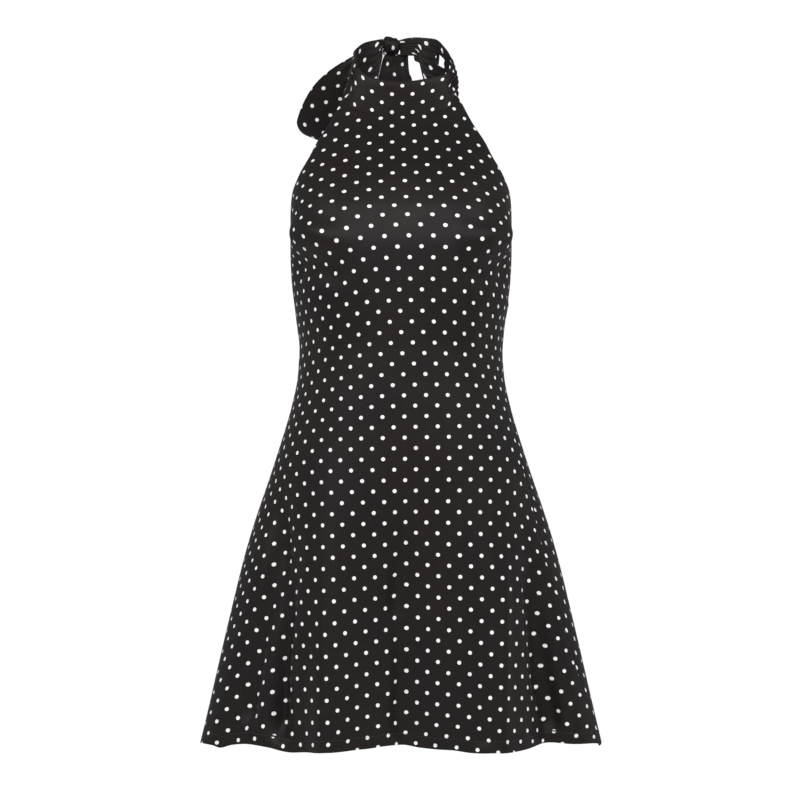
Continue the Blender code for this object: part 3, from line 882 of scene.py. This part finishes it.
def gather_rise(gathers: Sequence[Gather], style: GatherStyle, share: Array, across: Array) -> Array:
    """How far the gathers that run out from the knot stand out.

    Args:
        gathers: The rows of the table.
        style: How they sway, widen and begin.
        share: From the knot to the far end.
        across: From one edge to the other, -1 to 1.

    Returns:
        The rise of each point.
    """
    total = np.zeros_like(share)
    for gather in gathers:
        sway = style.sway * np.sin(style.waves * share + style.phase * gather.place)
        offset = (across - gather.place - sway) / mix(style.narrow, style.wide, share)
        grown = ease(1 - share / gather.reach) * mix(style.first, 1.0, ease(share * style.growth))
        total += gather.rise * (bell(offset) - GATHER_LEVEL) * grown
    return total


# Front and back --------------------------------------------
class BodyForm:
    """The worn form that the front and the back share."""

    def __init__(self) -> None:
        """Reads the table of sections."""
        self.section_at = SmoothTable(SECTIONS)

    def fold_rise(self, folds: Sequence[Fold], x: Array, z: Array, half_width: Array) -> Array:
        """How far the main folds push the cloth out from its plain section.

        Args:
            folds: The rows of the table.
            x: Across.
            z: Height.
            half_width: Half the section's width at that height.

        Returns:
            The rise of each point.
        """
        total = np.zeros_like(x)
        for fold in folds:
            down = (fold.start_z - z) / (fold.start_z - HEM_Z)
            offset = x - mix(fold.start_x, fold.hem_x, down)
            reach = np.where(offset < 0, fold.reach_left, fold.reach_right)
            total += fold.rise * np.clip(down, 0.0, FOLD_LIMIT) ** FOLD_GROWTH * bell(offset / reach)
        return total * (1 - np.minimum(np.abs(x) / half_width, 1.0) ** FOLD_SIDE_POWER)

    def points(self, angle: Array, z: Array) -> Array:
        """The cloth's outer face.

        Args:
            angle: In radians from centre front, positive to +X.
            z: Height.

        Returns:
            Points, in the shape of angle with three more.
        """
        size = self.section_at(z)
        side, front = np.sin(angle), np.cos(angle)
        power = 2 / size.squareness
        x = size.half_width * np.sign(side) * np.abs(side) ** power
        depth = np.where(front > 0, size.front_depth, size.back_depth) * np.abs(front) ** power
        before = self.fold_rise(FRONT_FOLDS, x, z, size.half_width)
        behind = self.fold_rise(BACK_FOLDS, x, z, size.half_width)
        rise = np.where(front > 0, before, behind)
        y = np.where(front > 0, -depth - rise, depth + rise)
        return np.stack([x, y, z - FOLD_DROP * rise], axis=-1)

    def front_angle(self, across: Array, level: Array) -> Array:
        """The angle of a share of the way from centre front to either edge, -1 to 1."""
        size = self.section_at(level)
        return across * np.radians(np.where(across > 0, size.seam_right, size.seam_left))

    def back_angle(self, across: Array, level: Array) -> Array:
        """The same on the back, from the wearer's left seam at -1 round behind to the right one.

        Args:
            across: The share of the way from centre back.
            level: Height.

        Returns:
            The angle.
        """
        size = self.section_at(level)
        seam = np.radians(np.where(across < 0, size.seam_right, size.seam_left))
        return math.pi + across * (math.pi - seam)


def neck_seam_z(across: Array) -> Array:
    """Height of the neck seam at a share of the way from centre front, -1 to 1."""
    side = math.radians(NECK_SIDE_ANGLE)
    return mix(NECK_FRONT_Z, NECK_SIDE_Z, (1 - np.cos(across * side)) / (1 - math.cos(side)))


def hem_z(z: Array, across: Array) -> Array:
    """A row's height at a share from the centre: rows near the hem bend down at the sides."""
    share = ease((HEM_CURVE_START_Z - z) / (HEM_CURVE_START_Z - HEM_Z))
    return z - HEM_SIDE_DROP * share * across**HEM_DROP_POWER


def lay_print(
    table: SmoothTable, angle_at: Callable[..., Array], form: BodyForm, across: Array, level: Array
) -> tuple:
    """Where each point of a panel lies on the print.

    The print's columns are counted along the level line from the panel's centre, and their spacing keeps
    within what the cloth stretches and eases.

    Args:
        table: How the print lies, by height.
        angle_at: The panel's angle at a share and a level.
        form: The worn form.
        across: Share from the centre, -1 to 1.
        level: Height of the line.

    Returns:
        Print columns and print rows, in half repeats.
    """
    lie = table(level)
    column = np.array(lie.column)
    length = np.zeros_like(across)
    last = form.points(angle_at(across * 0.0, level), level)
    for step in range(1, PRINT_STEPS + 1):
        here = form.points(angle_at(across * step / PRINT_STEPS, level), level)
        part = np.linalg.norm(here - last, axis=-1) * np.sign(across)
        middle = (length + part / 2) / PRINT_SCALE
        rate = lie.rate + 2 * lie.skew * middle + 3 * lie.spread * middle**2 + 5 * lie.edge * middle**4
        column += part * np.clip(rate / PRINT_SCALE, 1 / WIDEST_PRINT, 1 / TIGHTEST_PRINT)
        length += part
        last = here
    out = length / PRINT_SCALE
    return column, lie.row + lie.tilt * out + lie.sag * out**2 + lie.curl * out**4


def turn_hem(points: Array, column: Array, row: Array) -> tuple:
    """Adds the turned-up hem inside a panel.

    Args:
        points: The panel's rows, the last one being its lower edge.
        column: Their print columns.
        row: Their print rows.

    Returns:
        The three with the turned rows after them.
    """
    # Directions are taken a little above the edge itself.
    inward = -outward(points)[-3]
    up = unit(points[-4] - points[-1])
    turned = [points[-1] + inward * turn.depth + up * turn.rise for turn in HEM_TURN]
    more = np.array([max(turn.rise, 0.0) + turn.depth for turn in HEM_TURN])[:, None] / GRAIN
    points = np.concatenate([points, np.array(turned)])
    column = np.concatenate([column, np.repeat(column[-1:], len(more), axis=0)])
    return points, column, np.concatenate([row, row[-1:] + more])


# The nodes that make stitches along a line, and which output feeds which input.
STITCH_NODES = {
    "given": "NodeGroupInput",
    "curve": "GeometryNodeMeshToCurve",
    "even": "GeometryNodeResampleCurve",
    "tangent": "GeometryNodeInputTangent",
    "turn": "FunctionNodeAlignEulerToVector",
    "bead": "GeometryNodeMeshUVSphere",
    "half": "ShaderNodeMath",
    "size": "ShaderNodeCombineXYZ",
    "seat": "GeometryNodeInstanceOnPoints",
    "smooth": "GeometryNodeSetShadeSmooth",
    "real": "GeometryNodeRealizeInstances",
    "finish": "GeometryNodeSetMaterial",
    "result": "NodeGroupOutput",
}
STITCH_LINKS = (
    ("given", "Geometry", "curve", "Mesh"),
    ("curve", "Curve", "even", "Curve"),
    ("given", "Pitch", "even", "Length"),
    ("even", "Curve", "seat", "Points"),
    ("bead", "Mesh", "seat", "Instance"),
    ("tangent", "Tangent", "turn", "Vector"),
    ("turn", "Rotation", "seat", "Rotation"),
    ("given", "Stitch length", "half", 0),
    ("given", "Thread radius", "size", "X"),
    ("given", "Thread radius", "size", "Y"),
    ("half", 0, "size", "Z"),
    ("size", 0, "seat", "Scale"),
    ("seat", "Instances", "smooth", "Geometry"),
    ("smooth", "Geometry", "real", "Geometry"),
    ("real", "Geometry", "finish", "Geometry"),
    ("given", "Thread", "finish", "Material"),
    ("finish", "Geometry", "result", "Geometry"),
)


@dataclass
class StitchLine:
    """A row of stitches along a line, made with Geometry Nodes."""

    name: str
    path: Array
    thread: Material

    def tree(self) -> bpy.types.NodeTree:
        """The node tree: the line is resampled at the pitch, with a rounded stitch along it at each point.

        Returns:
            The tree, with inputs for the pitch, the length, the thread's radius and its material.
        """
        tree = bpy.data.node_groups.new("stitches_along_a_line", "GeometryNodeTree")
        face = tree.interface
        face.new_socket("Geometry", in_out="INPUT", socket_type="NodeSocketGeometry")
        for name in ("Pitch", "Stitch length", "Thread radius"):
            face.new_socket(name, in_out="INPUT", socket_type="NodeSocketFloat")
        face.new_socket("Thread", in_out="INPUT", socket_type="NodeSocketMaterial")
        face.new_socket("Geometry", in_out="OUTPUT", socket_type="NodeSocketGeometry")
        nodes = {name: tree.nodes.new(kind) for name, kind in STITCH_NODES.items()}
        nodes["even"].mode = "LENGTH"
        nodes["turn"].axis = "Z"
        nodes["half"].operation = "MULTIPLY"
        nodes["half"].inputs[1].default_value = 0.5
        for key, value in (("Segments", 6), ("Rings", 5), ("Radius", 1.0)):
            nodes["bead"].inputs[key].default_value = value
        for start, output, end, entry in STITCH_LINKS:
            tree.links.new(nodes[start].outputs[output], nodes[end].inputs[entry])
        return tree

    def build(self) -> Object:
        """Makes the stitches.

        Returns:
            One object with all of them, its modifier applied.
        """
        data = bpy.data.meshes.new(self.name)
        data.from_pydata(self.path.tolist(), [(k, k + 1) for k in range(len(self.path) - 1)], [])
        made = add_object(self.name, data)
        modifier = made.modifiers.new("stitches", "NODES")
        modifier.node_group = self.tree()
        values = {
            "Pitch": STITCH_PITCH,
            "Stitch length": STITCH_LENGTH,
            "Thread radius": THREAD_RADIUS,
            "Thread": self.thread,
        }
        for item in modifier.node_group.interface.items_tree:
            if item.in_out == "INPUT" and item.name in values:
                modifier[item.identifier] = values[item.name]
        settle(made)
        return made


@dataclass
class Panel:
    """The front or the back, cut in one from its top edge to the hem."""

    form: BodyForm
    finishes: Finishes
    side: Side
    columns: int
    rows: int
    flat: tuple
    area: float

    def grid(self) -> tuple:
        """The share from the centre and the level of each point.

        Returns:
            Shares and levels, both as rows by columns.
        """
        across = np.linspace(-1.0, 1.0, self.columns + 1)[None, :]
        if self.side is Side.FRONT:
            z = np.linspace(NECK_FRONT_Z, HEM_Z, self.rows + 1)[:, None]
            bend = 1 - ease((NECK_FRONT_Z - z) / (NECK_FRONT_Z - NECK_CURVE_END_Z))
            level = hem_z(z + bend * (neck_seam_z(across) - NECK_FRONT_Z), across)
        else:
            top_z = UNDERARM_Z - BACK_DIP
            z = np.linspace(top_z, HEM_Z, self.rows + 1)[:, None]
            top = 1 - ease((top_z - z) / (top_z - WAIST_Z))
            level = hem_z(z + top * BACK_DIP * across**2, across)
        return np.broadcast_to(across, level.shape), level

    def build(self) -> None:
        """Makes the panel, its hem and its hem's stitches."""
        front = self.side is Side.FRONT
        name = self.side.value
        across, level = self.grid()
        angle_at = self.form.front_angle if front else self.form.back_angle
        points = self.form.points(angle_at(across, level), level)
        table = SmoothTable(FRONT_PRINT if front else BACK_PRINT)
        column, row = lay_print(table, angle_at, self.form, across, level)
        rise = crease_rise(FRONT_CREASES if front else BACK_CREASES, points[..., 0], points[..., 2])
        length = run_length(points, 1)
        from_seam = np.minimum(length, length[:, -1:] - length)
        rise *= 1 - bell(from_seam / SEAM_STILL)
        rise -= SEAM_DEPTH * bell(from_seam / SEAM_REACH)
        if front:
            rise -= SEAM_DEPTH * bell(run_length(points, 0) / SEAM_REACH)
        points = points + outward(points) * rise[..., None]
        if front:
            near_hem = ease((HEM_WAVE_START_Z - level) / (HEM_WAVE_START_Z - HEM_Z))
            drop = SmoothTable(HEM_WAVES)(points[..., 0]).drop * near_hem
            points[..., 2] -= drop
            row = row + drop / GRAIN
        hem_row = self.hem_line(points)
        cloth = ClothGrid(*turn_hem(points, column, row))
        made = cloth.to_object(
            name + "_panel_cloth", SHELL, -1, (self.finishes.right_side, self.finishes.wrong_side)
        )
        stitches = StitchLine(name + "_hem_stitches", hem_row, self.finishes.thread).build()
        place_piece(made, name + "_panel")
        place_piece(stitches, None)

    def hem_line(self, points: Array) -> Array:
        """The line of the hem's stitches, on the outer face.

        Args:
            points: The panel's rows down to the hem.

        Returns:
            A row of points, just proud of the cloth.
        """
        points = points[::-1]
        up = run_length(points, 0)
        out = -outward(points)
        height = HEM_ALLOWANCE - STITCH_FROM_EDGE
        line = []
        for k in range(points.shape[1]):
            i = int(np.searchsorted(up[:, k], height))
            share = (height - up[i - 1, k]) / (up[i, k] - up[i - 1, k])
            line.append(mix(points[i - 1, k], points[i, k], share) + out[i, k] * STITCH_PROUD)
        return np.array(line[2:-2])  # clear of the side seams


# The neck strip --------------------------------------------
@dataclass
class NeckStrip:
    """The stand collar that turns into the two gathered ties."""

    form: BodyForm
    finishes: Finishes
    rows: int = 72
    flat: tuple = (0.048, 0.440)
    # Where the print lies: its column at centre front, half repeats at the front and behind, and its rows.
    print_column: float = 0.0016
    print_width: float = 0.0127
    print_width_behind: float = 0.0178
    print_widens: tuple = (75.0, 110.0)
    print_row_share: float = 0.2604
    print_row_start: float = -0.1636
    # The upper edge is rolled at the front, and the pleats fade towards both edges and into the seam.
    roll_rise: float = 0.0011
    roll_reach: float = 0.10
    roll_ends: tuple = (75.0, 45.0)
    edge_share: float = 0.45
    edge_power: float = 0.35
    seam_share: float = 0.16

    def angles(self) -> Array:
        """Where the strip's columns stand, closer where it is gathered.

        Returns:
            Their angles, in degrees from centre front.
        """
        spans = [
            np.linspace(start, end, steps, endpoint=False)
            for (start, steps), (end, _) in zip(NECK_STOPS, NECK_STOPS[1:])
        ]
        return np.append(np.concatenate(spans), NECK_ENDS[1])

    def pleat_rise(self, angle: Array, share: Array) -> Array:
        """How far the pleats and the swell at the side stand out.

        Args:
            angle: In degrees from centre front.
            share: From the lower to the upper edge.

        Returns:
            The rise of each point.
        """
        swell = bell((angle - SIDE_SWELL.angle) / SIDE_SWELL.reach)
        total = SIDE_SWELL.rise * swell * np.sin(math.pi * np.clip(share, 0.0, 1.0))
        for pleats, end in ((PLEATS_RIGHT_SIDE, NECK_ENDS[0]), (PLEATS_LEFT_SIDE, NECK_ENDS[1])):
            for pleat in pleats:
                along = (angle - pleat.begins) / (end - pleat.begins)
                centre = mix(pleat.front_share, pleat.knot_share, np.clip(along, 0, 1))
                sway = np.sin(along * PLEAT_SWAY.waves + PLEAT_SWAY.phase * pleat.front_share)
                offset = np.abs(share - centre - PLEAT_SWAY.share * sway) / pleat.reach
                grown = ease(along / PLEAT_START) * mix(PLEAT_FULL, PLEAT_TIGHT, ease(along * PLEAT_FADE))
                total = total + pleat.rise * grown * (np.exp(-(offset**PLEAT_POWER)) - PLEAT_LEVEL)
        return total

    def middle(self, angle: Array, share: Array) -> tuple:
        """The strip's middle and the way out of the neck there.

        Args:
            angle: In degrees from centre front.
            share: From the lower to the upper edge.

        Returns:
            Points and unit vectors.
        """
        size = SmoothTable(NECK)(angle)
        turn = np.radians(angle)
        side, front = np.sin(turn), np.cos(turn)
        top = np.stack([size.top_width * side, -size.top_depth * front, size.top_z], axis=-1)
        low = np.stack([size.low_width * side, -size.low_depth * front, size.low_z], axis=-1)
        across = np.clip(angle / NECK_SIDE_ANGLE, -1, 1)
        level = neck_seam_z(across)
        seam = self.form.points(self.form.front_angle(across, level), level)
        inward = np.stack([-side, front, np.zeros_like(side)], axis=-1) * STRIP_SHELL / 2
        seam = seam + inward - np.array([0.0, 0.0, SEAM_TUCK])
        low = np.where((np.abs(angle) <= NECK_SIDE_ANGLE)[..., None], seam, low)
        out = unit(np.stack([side / size.top_width, -front / size.top_depth, np.zeros_like(side)], axis=-1))
        return mix(low, top, share[..., None]), out

    def build(self) -> None:
        """Makes the strip."""
        angles = self.angles()
        angle, share = np.broadcast_arrays(angles, np.linspace(1.0, 0.0, self.rows + 1)[:, None])
        points, out = self.middle(angle, share)
        length = run_length(points, 1)
        edge_room = np.sin(math.pi * share).clip(0.0) ** self.edge_power
        rise = self.pleat_rise(angle, share) * mix(self.edge_share, 1.0, edge_room)
        rise = np.where(np.abs(angle) < NECK_SIDE_ANGLE, rise * ease(share / self.seam_share), rise)
        far, near = self.roll_ends
        rolled = bell((1 - share) / self.roll_reach) * ease((far - np.abs(angle)) / (far - near))
        points = points + out * (rise + self.roll_rise * rolled)[..., None]
        near, far = self.print_widens
        behind = ease((np.abs(angle) - near) / (far - near))
        wide = mix(self.print_width, self.print_width_behind, behind)
        steps = np.diff(length, axis=1) * 2 / (wide[:, 1:] + wide[:, :-1])
        column = np.concatenate([length[:, :1], np.cumsum(steps, axis=1)], axis=1)
        column = column - column[:, [int(np.argmin(np.abs(angles)))]] - self.print_column / self.print_width
        row = (share - self.print_row_start) / self.print_row_share
        cloth = ClothGrid(points, column, row, self.parting(angle, share))
        made = cloth.to_object("neck_strip_cloth", STRIP_SHELL, 0, (self.finishes.right_side,))
        place_piece(made, "neck_band")

    def parting(self, angle: Array, share: Array) -> Array:
        """Which faces are left out between two pleats of the wearer's left tie."""
        inside = (angle > PART_FROM) & (angle < PART_TO) & (share > PART_LOW) & (share < PART_HIGH)
        return inside[:-1, :-1] & inside[1:, :-1] & inside[1:, 1:] & inside[:-1, 1:]


@dataclass
class Knot:
    """The tie's knot: gathered cloth wrapped tightly round itself."""

    finishes: Finishes
    around: int = 120
    along: int = 72
    bluntness: float = 0.72
    skew: float = 0.16
    skew_turn: float = 0.6
    girth: float = 0.97
    ripples: tuple = ((2, 0.03, 0.8), (3, 0.02, 1.2))  # round it: how many, how high, and their phase
    # Rises along the knot, as shares of its radius: its wraps, one above and one below.
    wraps: tuple = each(
        Wrap,
        (-0.72, 0.12, 0.03),
        (-0.40, 0.15, 0.05),
        (-0.05, 0.13, 0.035),
        (0.30, 0.15, 0.05),
        (0.66, 0.13, 0.03),
    )
    shoulder: Wrap = Wrap(-0.60, 0.40, 0.18)
    heel: Wrap = Wrap(0.85, 0.30, 0.40)
    print_stretch: float = 1.25
    print_column: float = 0.0038
    print_radius: float = 0.0105
    print_turn: float = 0.36

    def build(self) -> None:
        """Makes the knot."""
        turn = np.linspace(0, 2 * math.pi, self.around, endpoint=False)[None, :]
        tip = np.linspace(0, math.pi, self.along + 1)[:, None]
        tip, turn = np.broadcast_arrays(tip, turn)
        across = np.cos(tip)
        ring = np.sin(tip) ** self.bluntness
        skewed = across + self.skew * np.sin(turn + self.skew_turn)
        swell = self.girth + sum(high * np.cos(count * turn + phase) for count, high, phase in self.ripples)
        for wrap in self.wraps:
            swell = swell + wrap.rise * bell((skewed - wrap.place) / wrap.reach)
        for wrap, upper in ((self.shoulder, 1), (self.heel, -1)):
            aside = np.clip(upper * np.sin(turn), 0.0, 1.0)
            swell = swell + wrap.rise * bell((across - wrap.place) / wrap.reach) * aside
        shape = np.stack([across, ring * np.cos(turn) * swell, ring * np.sin(turn) * swell], axis=-1)
        points = np.array(KNOT_CENTRE) + shape * np.array(KNOT_RADII)
        mesh = bmesh.new()
        poles = [mesh.verts.new(points[0, 0]), mesh.verts.new(points[-1, 0])]
        rings = [[mesh.verts.new(p) for p in ring_points] for ring_points in points[1:-1]]
        layer = mesh.loops.layers.uv.new("print")
        for k in range(self.around):
            after = (k + 1) % self.around
            mesh.faces.new((poles[0], rings[0][k], rings[0][after]))
            mesh.faces.new((poles[1], rings[-1][after], rings[-1][k]))
            for upper, lower in zip(rings, rings[1:]):
                mesh.faces.new((upper[k], lower[k], lower[after], upper[after]))
        bmesh.ops.recalc_face_normals(mesh, faces=mesh.faces[:])
        self.print_on(mesh, layer)
        data = bpy.data.meshes.new("knot_cloth")
        mesh.to_mesh(data)
        mesh.free()
        data.materials.append(self.finishes.right_side)
        data.shade_smooth()
        made = add_object("knot_cloth", data)
        place_piece(made, "knot")

    def print_on(self, mesh: bmesh.types.BMesh, layer: object) -> None:
        """Lays the print round the knot, across its wraps.

        Args:
            mesh: The knot's mesh.
            layer: Its print map.
        """
        for face in mesh.faces:
            centre = face.calc_center_median() - KNOT_CENTRE
            middle = math.atan2(centre.z, centre.y)
            for corner in face.loops:
                place = corner.vert.co - KNOT_CENTRE
                turn = math.atan2(place.z, place.y)
                turn += 2 * math.pi * round((middle - turn) / (2 * math.pi))
                column = (place.x * self.print_stretch - self.print_column) / GRAIN
                row = (turn + math.pi - self.print_turn) * self.print_radius / GRAIN
                corner[layer].uv = ((column + row) / 2, (column - row) / 2)


def strip_piece(
    name: str, points: Array, across: Array, length: Array, print_start: tuple, finishes: Finishes
) -> None:
    """Makes a loop or an end of the tie out of the finished strip.

    Args:
        name: Of its solid.
        points: Of the strip's middle.
        across: From one edge to the other, -1 to 1.
        length: Along the strip, from the knot.
        print_start: The print's column at the middle and its row at the knot.
        finishes: The shared finishes.
    """
    column = across * STRIP_WIDTH / 2 / GRAIN + print_start[0]
    row = np.broadcast_to(length / GRAIN + print_start[1], across.shape)
    made = ClothGrid(points, column, row).to_object(name + "_cloth", STRIP_SHELL, 0, (finishes.right_side,))
    place_piece(made, name)


@dataclass
class BowLoop:
    """One loop of the bow: the doubled strip out from the knot and back."""

    finishes: Finishes
    loop: Loop
    name: str
    print_start: tuple
    steps: int = 168
    columns: int = 40

    def bend_points(self, share: Array) -> tuple:
        """The loop's middle line.

        Args:
            share: From the knot to the far end.

        Returns:
            Points and the line's direction at each.
        """
        start, bend, end = (np.array(place) for place in (self.loop.start, self.loop.bend, self.loop.end))
        share = share[..., None]
        first, second = mix(start, bend, share), mix(bend, end, share)
        return mix(first, second, share), unit(second - first)

    def build(self) -> None:
        """Makes the loop."""
        turn = np.linspace(0, 2 * math.pi, self.steps + 1)[:, None]
        turn, across = np.broadcast_arrays(turn, np.linspace(-1, 1, self.columns + 1))
        share = (1 - np.cos(turn)) / 2 * (1 - LOOP_ROUNDING * across**4)
        middle, along = self.bend_points(share)
        start_way, end_way = np.array(self.loop.start_across), np.array(self.loop.end_across)
        way = mix(start_way, end_way, ease(share * LOOP_TWISTING)[..., None])
        way = unit(way - along * np.sum(way * along, axis=-1, keepdims=True))
        face = np.cross(along, way)
        face = unit(face + np.array(self.loop.lean) * ease(share)[..., None])
        swell = self.loop.swell * np.sin(turn) * np.abs(np.sin(turn / 2)) + LOOP_SPACE * np.cos(turn / 2)
        width = mix(LOOP_NECK_WIDTH, LOOP_WIDTH, ease(share * LOOP_OPENING))
        layer = np.where(turn < math.pi, 1.0, -1.0) * np.abs(np.cos(turn / 2)) ** 0.5
        swell = swell + gather_rise(LOOP_GATHERS, LOOP_STYLE, share, across) * layer
        points = middle + face * swell[..., None] + way * (across * width / 2)[..., None]
        length = run_length(points, 0)[:, [self.columns // 2]]
        strip_piece(self.name, points, across, length, self.print_start, self.finishes)


@dataclass
class TieEnd:
    """One end of the tie, hanging from the knot."""

    finishes: Finishes
    stations: tuple
    name: str
    slant: float
    print_start: tuple
    steps: int = 120
    columns: int = 32

    def build(self) -> None:
        """Makes the end."""
        down = np.linspace(0, 1, self.steps + 1)[:, None]
        down, across = np.broadcast_arrays(down, np.linspace(-1, 1, self.columns + 1))
        share = down * (1 - TAIL_SLANT + self.slant * TAIL_SLANT * across)
        at = SmoothTable(self.stations)(share)
        wave = TAIL_WAVE * np.sin(TAIL_WAVE_ACROSS * across + TAIL_WAVE_DOWN * share)
        wave = wave * ease(share * TAIL_WAVE_START) - gather_rise(TAIL_GATHERS, TAIL_STYLE, share, across)
        points = np.stack([at.x + across * at.width / 2, at.y + wave, at.z], axis=-1)
        length = run_length(points, 0)
        strip_piece(self.name, points, across, length, self.print_start, self.finishes)


# The room --------------------------------------------------
@dataclass(frozen=True)
class SoftBox:
    """One soft studio light."""

    name: str
    place: tuple
    size: tuple
    watts: float
    aim: tuple = (0.0, 0.0, -0.35)

    def build(self) -> None:
        """Makes the light."""
        data = bpy.data.lights.new(self.name, "AREA")
        data.shape = "RECTANGLE"
        data.size, data.size_y = self.size
        data.energy = self.watts
        made = add_object(self.name, data)
        made.location = self.place
        made.rotation_euler = (Vector(self.aim) - Vector(self.place)).to_track_quat("-Z", "Y").to_euler()


@dataclass
class Studio:
    """Floor, light and camera."""

    surround: float = 0.17
    backdrop: float = 1.02
    lights: tuple = (
        SoftBox("light_above_front", (0.0, -2.3, 2.0), (3.0, 0.8), 18.0),
        SoftBox("light_front_bank", (0.0, -2.6, 1.1), (4.6, 0.7), 74.0),
        SoftBox("light_front_low", (0.0, -2.7, 0.35), (4.4, 0.5), 15.0),
        SoftBox("light_front_left", (-2.6, -2.4, 0.5), (1.0, 1.4), 16.0),
        SoftBox("light_front_right", (2.6, -2.4, 0.5), (1.0, 1.4), 12.0),
        SoftBox("light_side_left", (-2.4, -1.1, 1.1), (1.0, 1.2), 22.0),
        SoftBox("light_side_right", (2.4, -1.1, 1.1), (1.0, 1.2), 24.0),
        SoftBox("light_back_left", (-2.3, 0.5, -0.2), (1.0, 2.4), 3.5),
        SoftBox("light_back_right", (2.3, 0.5, -0.2), (1.0, 2.4), 5.0),
        SoftBox("light_behind", (0.0, 2.7, 0.9), (0.9, 1.4), 52.0),
    )

    def build(self) -> None:
        """Makes all of it."""
        self.floor()
        self.sky()
        for light in self.lights:
            light.build()
        self.camera()

    def floor(self) -> None:
        """The plain round floor."""
        mesh = bmesh.new()
        bmesh.ops.create_circle(mesh, cap_ends=True, segments=128, radius=FLOOR_RADIUS)
        bmesh.ops.translate(mesh, verts=mesh.verts[:], vec=(0.0, 0.0, FLOOR_Z))
        data = bpy.data.meshes.new("floor")
        mesh.to_mesh(data)
        mesh.free()
        data.materials.append(StudioFloor("floor_paint").material())
        made = add_object("floor", data)

    def sky(self) -> None:
        """An even pale surround, seen a little brighter than it lights."""
        world = bpy.data.worlds.new("pale_surround")
        world.use_nodes = True
        tree = world.node_tree
        seen = tree.nodes["Background"]
        lit = tree.nodes.new("ShaderNodeBackground")
        for background, strength in ((seen, self.backdrop), (lit, self.surround)):
            background.inputs["Color"].default_value = (1.0, 1.0, 1.0, 1.0)
            background.inputs["Strength"].default_value = strength
        path = tree.nodes.new("ShaderNodeLightPath")
        choose = tree.nodes.new("ShaderNodeMixShader")
        tree.links.new(path.outputs["Is Camera Ray"], choose.inputs["Fac"])
        tree.links.new(lit.outputs[0], choose.inputs[1])
        tree.links.new(seen.outputs[0], choose.inputs[2])
        tree.links.new(choose.outputs[0], tree.nodes["World Output"].inputs["Surface"])
        bpy.context.scene.world = world

    def camera(self) -> None:
        """The camera, level with the middle of the dress."""
        data = bpy.data.cameras.new("camera")
        data.sensor_width = SENSOR
        data.lens = SENSOR * CAMERA_DISTANCE / FRAME_WIDTH
        data.clip_start, data.clip_end = 0.05, 60.0
        made = add_object("camera", data)
        made.location = (CAMERA_X, -CAMERA_DISTANCE, CAMERA_Z)
        made.rotation_euler = (math.pi / 2, 0.0, 0.0)
        bpy.context.scene.camera = made
        bpy.context.scene.view_settings.view_transform = "Standard"


@dataclass
class Dress:
    """All the cloth."""

    finishes: Finishes
    form: BodyForm = field(default_factory=BodyForm)

    def build(self) -> None:
        """Makes each piece in order."""
        shared = (self.form, self.finishes)
        Panel(*shared, Side.FRONT, columns=190, rows=210, flat=(0.640, 0.800), area=0.352).build()
        Panel(*shared, Side.BACK, columns=150, rows=170, flat=(0.660, 0.665), area=0.320).build()
        NeckStrip(*shared).build()
        Knot(self.finishes).build()
        BowLoop(self.finishes, LOOP_LEFT, "bow_loop_left", (0.92, 1.26)).build()
        BowLoop(self.finishes, LOOP_RIGHT, "bow_loop_right", (0.6, 0.0)).build()
        TieEnd(self.finishes, TAIL_LEFT, "tail_left", 1.0, (0.0, 0.0)).build()
        TieEnd(self.finishes, TAIL_RIGHT, "tail_right", -1.0, (0.5, 0.7)).build()


def main() -> None:
    """Builds the dress and the room round it."""
    logging.basicConfig(level=logging.INFO, format="%(name)s %(message)s")
    Dress(Finishes.make()).build()
    Studio().build()


if __name__ == "__main__":
    main()
